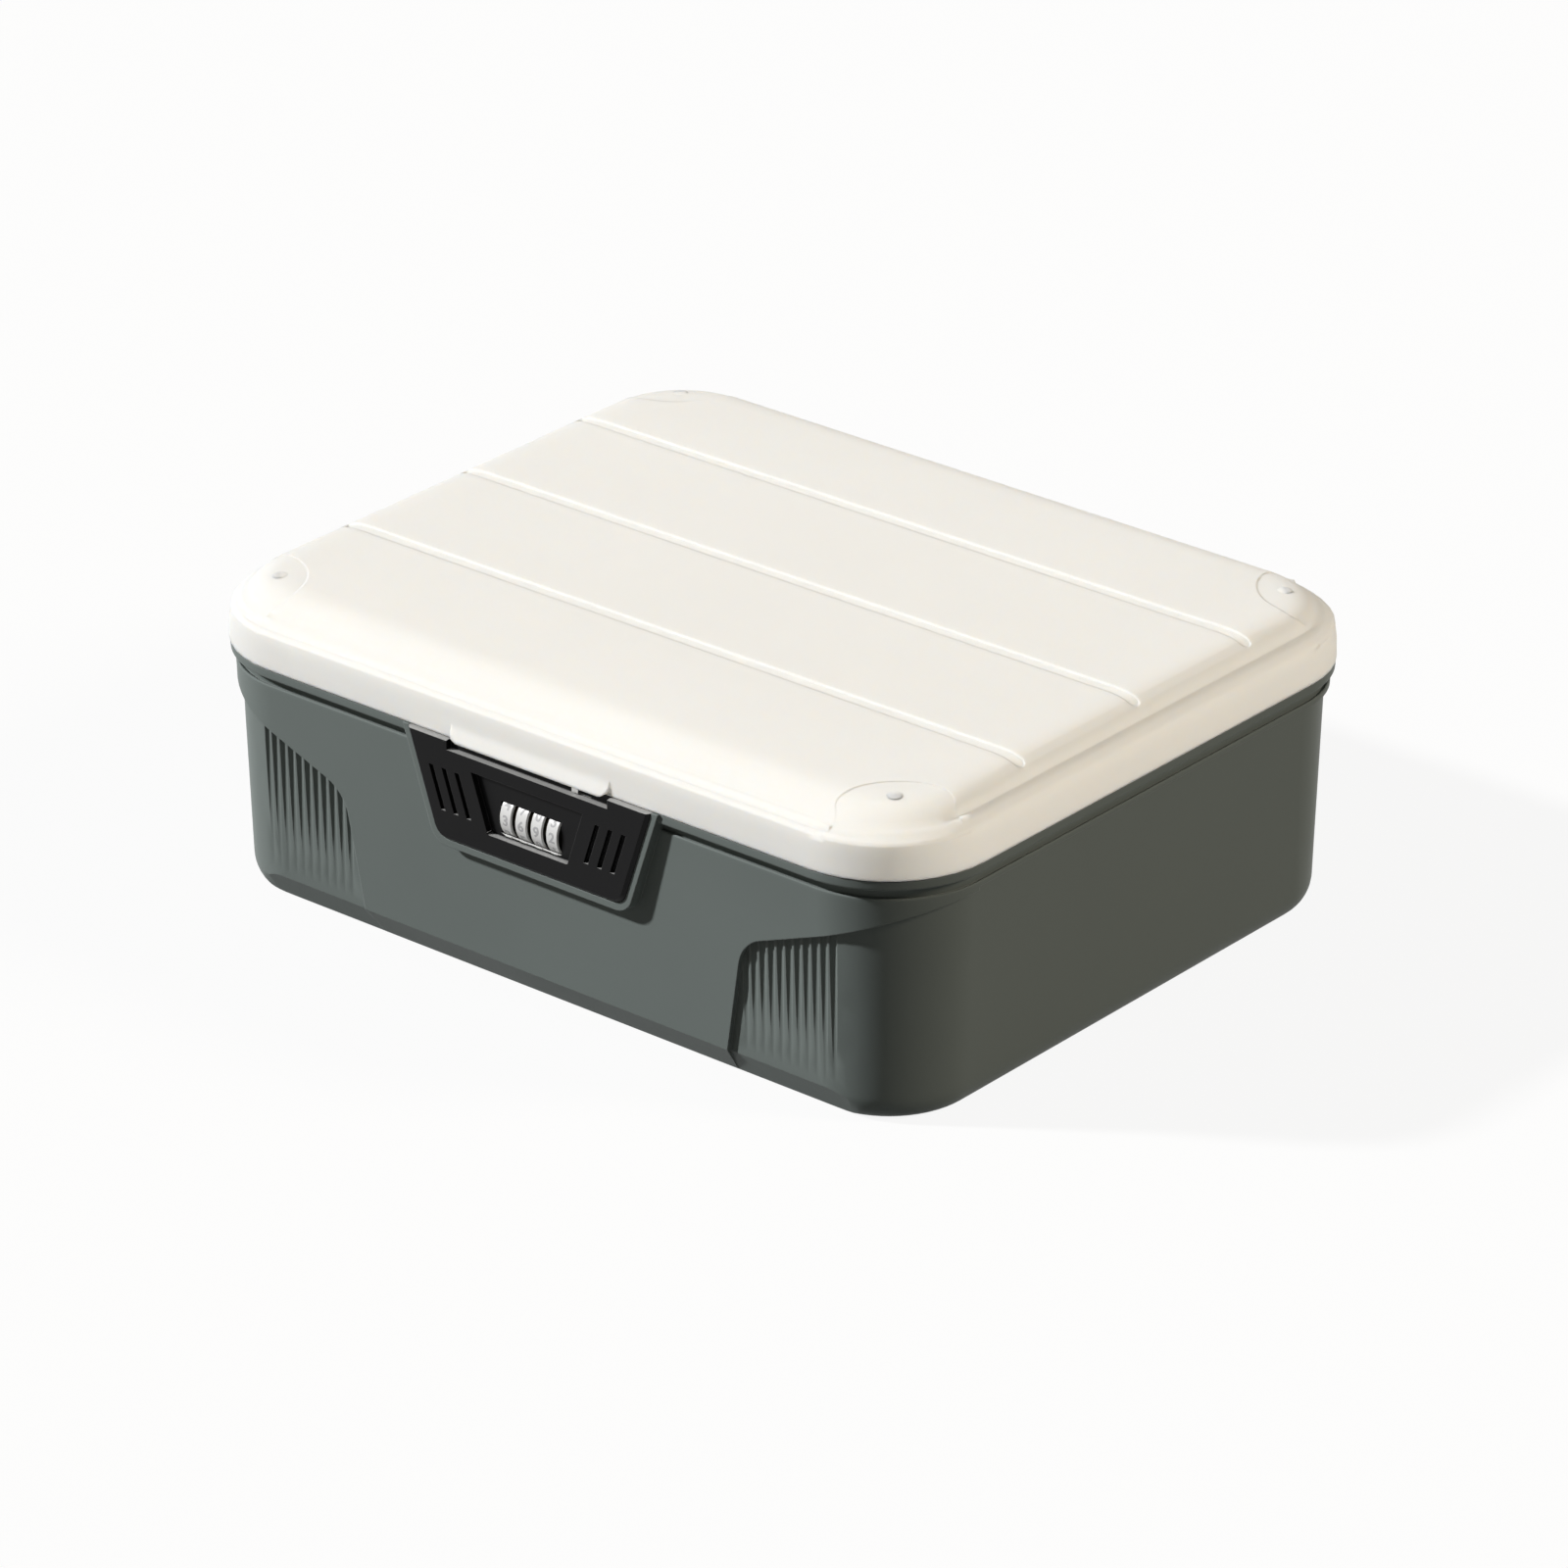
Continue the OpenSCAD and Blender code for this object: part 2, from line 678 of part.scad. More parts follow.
module lid_shell() {
    deck = lid_z + lid_h;
    boss_x = strike_x + strike_t - strike_flange - strike_lug[0];
    color(lid_colour)
    difference() {
        union() {
            difference() {
                lid_form(0, 0);
                difference() {
                    lid_form(lid_t, 1);
                    block(boss_x, strike_x + strike_t + strike_lug[0], front,
                          strike_y + strike_w + strike_lug[1], strike_top, deck);
                    lid_ribs();
                }
                sunk(rill_depth) rill_plan();
                sunk(pad_depth)
                    for (mx = [0, 1], my = [0, 1])
                        mirror([mx, 0]) mirror([0, my])
                            pad_plan();
            }
            for (sx = [-1, 1], sy = [-1, 1])
                translate([sx * (side - pip_at), sy * (back - pip_at), deck - pad_depth - pip_sink])
                    pip();
            finger_lip();
            for (s = [-1, 1])
                sideways(s * hinge_x - lid_knuckle / 2, s * hinge_x + lid_knuckle / 2)
                    lid_leaf();
        }
        for (s = [-1, 1])
            rod_x(s * hinge_x - lid_knuckle, s * hinge_x + lid_knuckle, hinge_y, hinge_z, pin_r + pin_gap);
        for (x = strike_screw_x)
            translate([x, nose_y, strike_top - 1])
                cylinder(h = strike_hole + 1, r = strike_screw_r + pilot_gap);
    }
}

// Ribs under the lid top, one below each groove and four across
module lid_ribs() {
    rib_t = 1.6;
    rib_h = 3;
    top = lid_z + lid_h;
    for (y = [-rill_y, 0, rill_y])
        block(-side, side, y + rill_mid - rib_t, y + rill_mid + rib_t, top - lid_t - rib_h, top);
    for (x = [-0.6, -0.2, 0.2, 0.6])
        block(x * side - rib_t / 2, x * side + rib_t / 2, front, back, top - lid_t - rib_h, top);
}

module pip() {
    dome_r = (pip_r * pip_r + pip_h * pip_h) / (2 * pip_h);
    spread = asin(pip_r / dome_r);
    rotate_extrude()
        polygon(concat([[0, -eps], [pip_r, -eps]],
                       arc(0, pip_h - dome_r, dome_r, 90 - spread, 90, 6)));
}

// Lip at the front of the lid, drawn forward over the faceplate
module finger_lip() {
    drop = 0.7;
    reach = 1.8;
    lip_back = front - face_out + notch_depth - 0.3;
    end_r = 4;
    intersection() {
        sideways(-grip_hw, grip_hw)
            polygon([[front + 0.4, lid_z + 6], [front - 0.4, lid_z + 3.2], [front - reach, lid_z + 0.6],
                     [front - reach, lid_z - drop], [lip_back, lid_z - drop], [lip_back, lid_z + 0.2],
                     [front + 0.6, lid_z + 0.9], [front + 2, lid_z + 1.5]]);
        upright(front - reach - 1, front + 3)
            polygon(both(concat(arc(grip_hw - end_r, lid_z - drop + end_r, end_r, -90, 0, 8),
                                [[grip_hw, lid_z + 7]])));
    }
}

// Faceplate with finger notch, side slots, and a recess whose window shows the dials
module lock_faceplate() {
    window_hw = (dials - 1) / 2 * dial_pitch + dial_w / 2 + window_gap;
    index_z = dial_z - window_h / 2 - index_gap;
    color(black)
    difference() {
        union() {
            hull() {
                upright(face_y, face_y + eps)
                    polygon(trap(face_hw - face_bevel, rim_z - 0.3, face_bottom + face_bevel,
                                 face_slope, face_r - face_bevel));
                upright(bevel_y, plate_y)
                    polygon(trap(face_hw, rim_z - 0.1, face_bottom, face_slope, face_r));
            }
            for (x = [-post_x, post_x], z = post_z)
                rod_y(plate_y - eps, pad_face - 0.4, x, z, post_r);
        }
        block(-notch_hw, notch_hw, face_y - 1, face_y + notch_depth, rim_z - notch_h, rim_z + 1);
        block(latch_x - 1, latch_x + tab_w + throw + 1, face_y, plate_y + 1,
              tab_z - 0.3, tab_z + tab_h + 0.3);
        upright(face_y - 1, well_y)
            polygon(trap(well_hw + face_slope * (rim_z - well_z), well_z + well_h, well_z, face_slope, 1));
        block(-window_hw, window_hw, well_y - 1, plate_y + 1,
              dial_z - window_h / 2, dial_z + window_h / 2);
        rod_x(-window_hw, window_hw, dial_y, dial_z, dial_r + dial_gap);
        rod_x(-cheek_in, cheek_in, dial_y, dial_z, ring_r + dial_gap);
        for (s = [-1, 1], k = [0:slots - 1])
            side_slot(s, slot_x - k * slot_pitch);
        for (x = [-post_x, post_x], z = post_z)
            rod_y(plate_y, pad_face + 1, x, z, screw_r + pilot_gap);
    }
    color("white")
        for (k = [0:dials - 1])
            block(dial_x(k) - index_w / 2, dial_x(k) + index_w / 2, well_y - index_t, well_y,
                  index_z - index_h, index_z);
}

module side_slot(s, x) {
    upright(face_y - 1, face_y + slot_depth)
        polygon([[s * (x - slot_w / 2), slot_z], [s * (x + slot_w / 2), slot_z],
                 [s * (x + slot_w / 2 + face_slope * slot_h), slot_z + slot_h],
                 [s * (x - slot_w / 2 + face_slope * slot_h), slot_z + slot_h]]);
}

// Case open to the front, with cheeks for the spindle and ears for its screws
module lock_case() {
    color(black)
    difference() {
        union() {
            difference() {
                block(-case_hw, case_hw, case_y, case_back, case_bottom, case_top);
                block(-case_hw + case_wall, case_hw - case_wall, case_y - 1, case_back + 1,
                      case_bottom + case_wall, case_top - case_wall);
            }
            for (s = [-1, 1]) {
                block(s > 0 ? cheek_in : -cheek_out, s > 0 ? cheek_out : -cheek_in,
                      case_y, case_back, case_bottom, case_top);
                for (z = post_z)
                    block(s > 0 ? case_hw - eps : -case_hw - ear_w, s > 0 ? case_hw + ear_w : -case_hw + eps,
                          pad_face, pad_face + ear_t, z - ear_h / 2, z + ear_h / 2);
            }
            for (p = cover_screw_at)
                rod_y(case_y, case_back, p[0], p[1], p[0] > cheek_out || p[0] < 0 ? cover_post_r : eps);
            block(-cheek_in, cheek_in, rail_y - 2.6, rail_y, rail_z, rail_z + rail_h);
            for (s = [-1, 1])
                rod_y(rail_y - eps, rail_y + 2, s * peg_x, rail_z + rail_h / 2, peg_r);
            block(-case_hw + eps, -case_hw + 6.5, dial_y + spindle_r + 0.2 + leaf_t, case_back - 2,
                  dial_z - 4, dial_z + 4);
        }
        block(cheek_out, case_hw - case_wall, case_y - 1, case_back - 3,
              case_top - case_wall - 1, case_top + 1);
        rod_x(-cheek_out - 1, cheek_out + 1, dial_y, dial_z, spindle_r + run_gap);
        rod_x(-cheek_in - web_gap - stud_l - 0.3, -cheek_in + 1, dial_y, dial_z, cup_r);
        for (s = [-1, 1], z = post_z)
            rod_y(pad_face - 1, pad_face + ear_t + 1, s * post_x, z, screw_r + hole_play);
        for (p = cover_screw_at)
            rod_y(case_back - cover_hole, case_back + 1, p[0], p[1], cover_screw_r + pilot_gap);
    }
}

module lock_cover() {
    color(black)
    difference() {
        block(-case_hw, case_hw, case_back, case_back + cover_t, case_bottom, case_top);
        for (p = cover_screw_at)
            rod_y(case_back - 1, case_back + cover_t + 1, p[0], p[1], cover_screw_r + hole_play);
        block(-knob_w / 2 - 0.4, knob_w / 2 + slide_travel + 0.4, case_back - 1, case_back + cover_t + 1,
              slide_z - knob_h / 2 - 0.2, slide_z + knob_h / 2 + 0.2);
    }
}

// Dial with a notch for every code position round its bore
module dial_wheel(k) {
    x = dial_x(k);
    color("white")
    sideways(x - dial_w / 2, x + dial_w / 2)
        translate([dial_y, dial_z])
            difference() {
                circle(dial_r);
                circle(ring_r + ring_gap);
                for (i = [0:codes - 1])
                    rotate(360 / codes * i)
                        translate([-key_w / 2 - ring_gap, ring_r - 1])
                            square([key_w + 2 * ring_gap, 1 + key_h + ring_gap]);
            }
}

// Cup shaped ring: web with a gate for the stud, and a key for the dial
module gate_ring(k) {
    x0 = dial_x(k) - ring_w / 2;
    color(brass)
    difference() {
        union() {
            rod_x(x0, x0 + ring_w, dial_y, dial_z, ring_r);
            block(dial_x(k) - dial_w / 2, dial_x(k) + dial_w / 2, dial_y - key_w / 2, dial_y + key_w / 2,
                  dial_z, dial_z + ring_r + key_h);
        }
        rod_x(x0 + web_t, x0 + ring_w + 1, dial_y, dial_z, cup_r);
        rod_x(x0 - 1, x0 + ring_w + 1, dial_y, dial_z, spindle_r + run_gap);
        block(x0 - 1, x0 + ring_w, dial_y, dial_y + gate_r, dial_z - gate_w / 2, dial_z + gate_w / 2);
    }
}

// Spindle with one stud for each gate
module locking_spindle() {
    x0 = -cheek_out - 1.9;
    color(steel) {
        rod_x(x0, latch_x + latch_t + clip_t + 0.8, dial_y, dial_z, spindle_r);
        for (k = [0:dials - 1]) {
            x1 = dial_x(k) - ring_w / 2 - web_gap;
            block(x1 - stud_l, x1, dial_y, dial_y + stud_r, dial_z - stud_w / 2, dial_z + stud_w / 2);
        }
    }
}

// Plate on the end of the spindle: nose for the strike, tab for the finger
module latch_plate() {
    arm_top = tab_z + tab_h;
    color(steel)
    difference() {
        union() {
            sideways(latch_x, latch_x + latch_t) {
                translate([dial_y, dial_z]) circle(4.2);
                polygon([[dial_y - arm_w / 2, dial_z], [dial_y + arm_w / 2, dial_z],
                         [nose_y + arm_w / 2, nose_z + 4], [nose_y - arm_w / 2 + 2, arm_top],
                         [nose_y - arm_w / 2 - 1.5, arm_top], [nose_y - arm_w / 2, nose_z]]);
            }
            rod_x(latch_x + latch_t - eps, strike_x - strike_gap - nose_taper[0], nose_y, nose_z, nose_r);
            translate([strike_x - strike_gap - nose_taper[0], nose_y, nose_z])
                rotate([0, 90, 0])
                    cylinder(h = nose_taper[0], r1 = nose_r, r2 = nose_r - nose_taper[1]);
            block(latch_x, latch_x + tab_w, face_y + notch_depth - 0.8, nose_y - arm_w / 2 + 0.5,
                  tab_z, arm_top);
        }
        rod_x(latch_x - 1, latch_x + latch_t + 1, dial_y, dial_z, spindle_r + ring_gap);
    }
}

module spindle_clip() {
    x = latch_x + latch_t;
    color(steel)
    difference() {
        rod_x(x, x + clip_t, dial_y, dial_z, spindle_r + 1.3);
        rod_x(x - 1, x + clip_t + 1, dial_y, dial_z, spindle_r + ring_gap);
        block(x - 1, x + clip_t + 1, dial_y - 1.1, dial_y + 1.1, dial_z - 2 * spindle_r - 2, dial_z - 1);
    }
}

// Leaf comb that clicks on the dials
module dial_detent() {
    tip_z = dial_z + sqrt(pow(dial_r + 0.2, 2) - pow(rail_y - dial_y, 2));
    color(steel)
    difference() {
        union() {
            block(-cheek_in + 0.3, cheek_in - 0.3, rail_y, rail_y + leaf_t, rail_z, rail_z + rail_h);
            for (k = [0:dials - 1])
                block(dial_x(k) - finger_w / 2, dial_x(k) + finger_w / 2, rail_y, rail_y + leaf_t,
                      tip_z, rail_z + eps);
        }
        for (s = [-1, 1])
            rod_y(rail_y - 1, rail_y + leaf_t + 1, s * peg_x, rail_z + rail_h / 2, peg_r + 0.05);
    }
}

// Leaf that holds the spindle at either end of its travel
module spindle_detent() {
    y = dial_y + spindle_r + 0.2;
    color(steel)
        block(-case_hw + case_wall, -cheek_out - 0.3, y, y + leaf_t, dial_z - 2, dial_z + 2);
}

// Slide in the rear cover that frees the gate rings to set a new code
module code_slide() {
    color(brass) {
        block(-slide_w / 2 + 0.5, slide_w / 2 + 0.5, case_back + cover_t + 0.1, case_back + cover_t + 0.1 + slide_t,
              slide_z - slide_h / 2, slide_z + slide_h / 2);
        block(-knob_w / 2, knob_w / 2, case_back + 0.3, case_back + cover_t + 0.2,
              slide_z - knob_h / 2, slide_z + knob_h / 2);
    }
}

// Angle plate under the lid with a window for the nose
module strike_plate() {
    low = nose_z - strike_window[1] / 2 - 2;
    color(steel)
    difference() {
        union() {
            block(strike_x, strike_x + strike_t, strike_y, strike_y + strike_w, low, strike_top);
            block(strike_x + strike_t - strike_flange, strike_x + strike_t, strike_y, strike_y + strike_w,
                  strike_top - flange_sheet, strike_top);
        }
        block(strike_x - 1, strike_x + strike_t + 1, nose_y - strike_window[0] / 2,
              nose_y + strike_window[0] / 2, nose_z - strike_window[1] / 2, nose_z + strike_window[1] / 2);
        for (x = strike_screw_x)
            translate([x, nose_y, strike_top - flange_sheet - 1])
                cylinder(h = flange_sheet + 2, r = strike_screw_r + hole_play);
    }
}

// Cross-recessed pan head screw along z, shank upwards; form is head radius, head height, shank length
module screw(r, form) {
    color(steel)
    difference() {
        union() {
            translate([0, 0, -form[1]]) cylinder(h = form[1], r = form[0]);
            translate([0, 0, -eps]) cylinder(h = form[2] + eps, r = r);
        }
        for (a = [0, 90])
            translate([0, 0, -form[1]])
                rotate([0, 0, a])
                    cube([form[0] * 1.1, form[0] * 0.3, form[1]], center = true);
    }
}

module screw_y(x, y, z, r, form) {
    translate([x, y, z])
        rotate([90, 0, 0])
            screw(r, form);
}

module lock_screws() {
    for (x = [-post_x, post_x], z = post_z)
        screw_y(x, pad_face + ear_t, z, screw_r, lock_screw);
}

module cover_screws() {
    for (p = cover_screw_at)
        screw_y(p[0], case_back + cover_t, p[1], cover_screw_r, cover_screw);
}

module strike_screws() {
    for (x = strike_screw_x)
        translate([x, nose_y, strike_top - flange_sheet])
            screw(strike_screw_r, strike_screw);
}

module hinge_pin(s) {
    color(steel)
        rod_x(s * hinge_x - pin_len / 2, s * hinge_x + pin_len / 2, hinge_y, hinge_z, pin_r);
}

base_tub();
lid_shell();
lock_faceplate();
lock_case();
lock_cover();
dial_wheel(0);  // dial_wheel_1
dial_wheel(1);  // dial_wheel_2
dial_wheel(2);  // dial_wheel_3
dial_wheel(3);  // dial_wheel_4
gate_ring(0);  // gate_ring_1
gate_ring(1);  // gate_ring_2
gate_ring(2);  // gate_ring_3
gate_ring(3);  // gate_ring_4
locking_spindle();
latch_plate();
spindle_clip();
dial_detent();
spindle_detent();
code_slide();
strike_plate();
lock_screws();
cover_screws();
strike_screws();
hinge_pin(-1);  // hinge_pin_left
hinge_pin(1);  // hinge_pin_right
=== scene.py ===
import json
import math

import bmesh
import bpy
from mathutils import Matrix, Vector

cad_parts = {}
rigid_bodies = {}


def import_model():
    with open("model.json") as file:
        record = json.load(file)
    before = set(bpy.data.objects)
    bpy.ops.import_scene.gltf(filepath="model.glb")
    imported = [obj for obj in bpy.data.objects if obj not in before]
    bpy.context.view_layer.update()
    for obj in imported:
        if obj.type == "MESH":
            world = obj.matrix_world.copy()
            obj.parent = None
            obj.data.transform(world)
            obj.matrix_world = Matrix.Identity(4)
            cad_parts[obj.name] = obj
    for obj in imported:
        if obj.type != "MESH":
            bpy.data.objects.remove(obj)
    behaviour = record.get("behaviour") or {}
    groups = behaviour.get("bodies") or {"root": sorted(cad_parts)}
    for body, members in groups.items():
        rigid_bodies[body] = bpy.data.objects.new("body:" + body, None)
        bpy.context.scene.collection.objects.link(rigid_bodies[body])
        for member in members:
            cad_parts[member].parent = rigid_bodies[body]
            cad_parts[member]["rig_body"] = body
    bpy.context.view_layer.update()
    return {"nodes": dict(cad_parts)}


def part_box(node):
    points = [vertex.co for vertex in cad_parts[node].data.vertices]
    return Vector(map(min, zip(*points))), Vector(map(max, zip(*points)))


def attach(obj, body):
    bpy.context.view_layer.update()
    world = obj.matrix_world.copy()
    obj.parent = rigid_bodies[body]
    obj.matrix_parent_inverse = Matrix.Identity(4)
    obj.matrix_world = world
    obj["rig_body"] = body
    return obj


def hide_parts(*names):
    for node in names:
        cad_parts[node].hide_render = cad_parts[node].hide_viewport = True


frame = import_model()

bl_info = {
    "name": "Combination Lock Box",
    "version": (1, 0, 0),
    "blender": (4, 5, 0),
    "location": "3D View > Sidebar > Lock Box",
    "description": "Dresses the lock box, its dials and its lock in their finishes and sets up the studio",
    "category": "Object",
}

MM = 0.001
BODY_OF = {name: obj["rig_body"] for name, obj in frame["nodes"].items()}
WHEEL_COUNT = 4
NUMERAL_COUNT = 10

# Distances under which points are merged, on a new piece and on a copy of a CAD node
SAME_POINT = 0.001 * MM
CAD_SEAM = 0.002 * MM

# Part of a noise's values over which a finish runs from its lower to its upper look
NOISE_RANGE = (0.3, 0.7)

# Share of the broad noise in a mottle; the fine grain makes up the rest
BROAD_SHARE = 0.7

# How far roughness strays to each side of its mean
PLASTIC_SPREAD = 0.05
METAL_SPREAD = 0.08

# How much paler and how much smoother an edge gets, where the paler edges stand for wear, and on the tub for
# a painted highlight
EDGE_PALER = 0.22
WORN_SMOOTHER = 0.12

# How far red, green and blue travel in milky plastic, as shares of its reach
MILK_REACH = (1.0, 0.92, 0.82)

# Rubbed edges and the pale painted highlight on the ledges of the lock's plastic, and rubbed edges of metal
RUBBED_GREY = (0.35, 0.35, 0.35)
RUBBED_SHARE = 0.16
LEDGE_HIGHLIGHT_GREY = (0.62, 0.62, 0.61)
LEDGE_HIGHLIGHT_SHARE = 0.75
METAL_RUBBED_SHARE = 0.3

# The studio's white, and the collection that the lid's own lamp lights
WHITE = (1.0, 1.0, 1.0, 1.0)
LID_LIT = "lit_by_lid_light"


# Settings that a user would change


class LockBoxFinishes(bpy.types.PropertyGroup):
    """Colours and surface qualities of the moulded and metal parts"""

    tub_colour: bpy.props.FloatVectorProperty(
        name="Tub", description="Colour of the moulded tub", subtype="COLOR", size=3,
        min=0, max=1, default=(0.183, 0.211, 0.202))
    lid_colour: bpy.props.FloatVectorProperty(
        name="Lid", description="Colour of the moulded lid", subtype="COLOR", size=3,
        min=0, max=1, default=(0.905, 0.898, 0.862))
    lock_colour: bpy.props.FloatVectorProperty(
        name="Lock", description="Colour of the lock's housing and of the dials' sides",
        subtype="COLOR", size=3, min=0, max=1, default=(0.0075, 0.0075, 0.0080))
    dial_colour: bpy.props.FloatVectorProperty(
        name="Dials", description="Colour of the dials' rims and of the index marks",
        subtype="COLOR", size=3, min=0, max=1, default=(0.86, 0.86, 0.85))
    numeral_colour: bpy.props.FloatVectorProperty(
        name="Numerals", description="Colour of the numerals on the dials", subtype="COLOR", size=3,
        min=0, max=1, default=(0.52, 0.52, 0.53))
    plate_colour: bpy.props.FloatVectorProperty(
        name="Plated steel", description="Colour of the spindle, the latch plate and the strike plate",
        subtype="COLOR", size=3, min=0, max=1, default=(0.62, 0.62, 0.60))
    spring_colour: bpy.props.FloatVectorProperty(
        name="Spring steel", description="Colour of the clip and of the leaf detents",
        subtype="COLOR", size=3, min=0, max=1, default=(0.42, 0.42, 0.43))
    brass_colour: bpy.props.FloatVectorProperty(
        name="Brass", description="Colour of the gate rings and of the code slide",
        subtype="COLOR", size=3, min=0, max=1, default=(0.60, 0.45, 0.20))
    screw_colour: bpy.props.FloatVectorProperty(
        name="Screws", description="Colour of the screws",
        subtype="COLOR", size=3, min=0, max=1, default=(0.55, 0.56, 0.57))
    pin_colour: bpy.props.FloatVectorProperty(
        name="Hinge pins", description="Colour of the hinge pins",
        subtype="COLOR", size=3, min=0, max=1, default=(0.60, 0.60, 0.60))
    edge_round: bpy.props.FloatProperty(
        name="Tub edge round", description="Radius of the soft edges of the tub",
        default=0.0005, min=0, max=0.002, unit="LENGTH", precision=5)
    lid_edge_round: bpy.props.FloatProperty(
        name="Lid edge round", description="Radius of the soft edges of the lid",
        default=0.0009, min=0, max=0.003, unit="LENGTH", precision=5)
    pad_step: bpy.props.FloatProperty(
        name="Pad step", description="Visible depth of the lid's corner pads",
        default=0.0003, min=0.0001, max=0.0008, unit="LENGTH", precision=5)
    tub_roughness: bpy.props.FloatProperty(
        name="Tub roughness", description="Roughness of the tub's satin surface",
        default=0.46, min=0, max=1, subtype="FACTOR")
    lid_roughness: bpy.props.FloatProperty(
        name="Lid roughness", description="Roughness of the lid's satin surface",
        default=0.5, min=0, max=1, subtype="FACTOR")
    lock_roughness: bpy.props.FloatProperty(
        name="Lock roughness", description="Roughness of the lock's black plastic",
        default=0.39, min=0, max=1, subtype="FACTOR")


class LockBoxDials(bpy.types.PropertyGroup):
    """Sizes of the numbered dials"""

    numeral_height: bpy.props.FloatProperty(
        name="Numeral height", description="Height of a numeral on the rim",
        default=0.0034, min=0.001, max=0.005, unit="LENGTH", precision=5)
    rim_chamfer: bpy.props.FloatProperty(
        name="Rim chamfer", description="Chamfer between a dial's rim and its sides",
        default=0.00045, min=0, max=0.001, unit="LENGTH", precision=5)
    shown_numeral: bpy.props.IntProperty(
        name="Shown numeral", description="Numeral that faces the window on the first dial",
        default=3, min=0, max=9)


class LockBoxStudio(bpy.types.PropertyGroup):
    """Camera and light of the studio"""

    camera_azimuth: bpy.props.FloatProperty(
        name="Azimuth", description="Turn of the camera to the right of the front",
        default=math.radians(39.921), subtype="ANGLE")
    camera_elevation: bpy.props.FloatProperty(
        name="Elevation", description="Height of the camera as an angle",
        default=math.radians(25.579), subtype="ANGLE")
    camera_distance: bpy.props.FloatProperty(
        name="Distance", description="Distance from the camera to the box",
        default=2.5507, unit="LENGTH")
    camera_shift: bpy.props.FloatVectorProperty(
        name="Aim", description="Camera's place to the right and upwards of the line to the box",
        size=2, default=(0.0008, 0.0315), unit="LENGTH")
    lens: bpy.props.FloatProperty(
        name="Lens", description="Focal length on a 36 mm wide sensor", default=179.955, unit="CAMERA")
    left_light: bpy.props.FloatProperty(
        name="Left light", description="Strength of the key light from the front left",
        default=3.54, min=0)
    right_light: bpy.props.FloatProperty(
        name="Right light", description="Strength of the soft light from behind on the right",
        default=1.26, min=0)
    lid_light: bpy.props.FloatProperty(
        name="Lid light", description="Strength of the soft light that fills the lid's shaded side",
        default=1.98, min=0)
    sky: bpy.props.FloatProperty(
        name="Sky", description="Strength of the sky's light, which is brightest near the horizon",
        default=0.26, min=0)
    bounce: bpy.props.FloatProperty(
        name="Bounce", description="How much light the floor sends back to the box",
        default=0.12, min=0, max=1, subtype="FACTOR")


# Node helpers


def new_group(name, inputs, outputs):
    """A shader node group with named sockets; returns the tree, its input node and its output node."""
    tree = bpy.data.node_groups.new(name, "ShaderNodeTree")
    for title, kind, value in inputs:
        socket = tree.interface.new_socket(name=title, in_out="INPUT", socket_type=kind)
        if value is not None:
            socket.default_value = value
    for title, kind in outputs:
        tree.interface.new_socket(name=title, in_out="OUTPUT", socket_type=kind)
    return tree, tree.nodes.new("NodeGroupInput"), tree.nodes.new("NodeGroupOutput")


def add(tree, kind, **settings):
    node = tree.nodes.new(kind)
    for key, value in settings.items():
        setattr(node, key, value)
    return node


def feed(tree, node, **inputs):
    """Sets or links a node's inputs; spaces in socket names are written as underscores."""
    for key, value in inputs.items():
        socket = node.inputs[key.replace("_", " ")]
        if isinstance(value, bpy.types.NodeSocket):
            tree.links.new(value, socket)
        else:
            socket.default_value = value
    return node


def math_node(tree, operation, a, b=0.0, clamp=False):
    node = add(tree, "ShaderNodeMath", operation=operation, use_clamp=clamp)
    for socket, value in zip(node.inputs, (a, b)):
        if isinstance(value, bpy.types.NodeSocket):
            tree.links.new(value, socket)
        else:
            socket.default_value = value
    return node.outputs[0]


def ramp(tree, value, low, high, to_low=0.0, to_high=1.0):
    node = add(tree, "ShaderNodeMapRange", clamp=True)
    feed(tree, node, Value=value, From_Min=low, From_Max=high, To_Min=to_low, To_Max=to_high)
    return node.outputs["Result"]


def seen_rays(tree):
    """1 for rays that show the studio directly, in a reflection or through glass."""
    light = add(tree, "ShaderNodeLightPath")
    return math_node(tree, "ADD", light.outputs["Is Camera Ray"],
                     math_node(tree, "ADD", light.outputs["Is Glossy Ray"],
                               light.outputs["Is Transmission Ray"]), clamp=True)


def moulded_grain():
    """Fine spark-eroded grain of a mould, with a slow waviness under it."""
    tree, given, out = new_group(
        "moulded_grain",
        [("Grain size", "NodeSocketFloat", 0.0004), ("Waviness", "NodeSocketFloat", 0.25)],
        [("Height", "NodeSocketFloat"), ("Mottle", "NodeSocketFloat")])
    place = add(tree, "ShaderNodeTexCoord")
    scale = math_node(tree, "DIVIDE", 1.0, given.outputs["Grain size"])
    fine = feed(tree, add(tree, "ShaderNodeTexNoise"), Vector=place.outputs["Object"], Scale=scale,
                Detail=2.0, Roughness=0.6)
    slow = feed(tree, add(tree, "ShaderNodeTexNoise"), Vector=place.outputs["Object"], Scale=45.0,
                Detail=2.0, Roughness=0.5)
    broad = feed(tree, add(tree, "ShaderNodeTexNoise"), Vector=place.outputs["Object"], Scale=14.0,
                 Detail=3.0, Roughness=0.55)
    wave = math_node(tree, "MULTIPLY", slow.outputs["Fac"], given.outputs["Waviness"])
    height = math_node(tree, "ADD", fine.outputs["Fac"], wave)
    tree.links.new(height, out.inputs["Height"])
    mottle = math_node(tree, "ADD", math_node(tree, "MULTIPLY", broad.outputs["Fac"], BROAD_SHARE),
                       math_node(tree, "MULTIPLY", fine.outputs["Fac"], 1 - BROAD_SHARE))
    tree.links.new(mottle, out.inputs["Mottle"])
    return tree


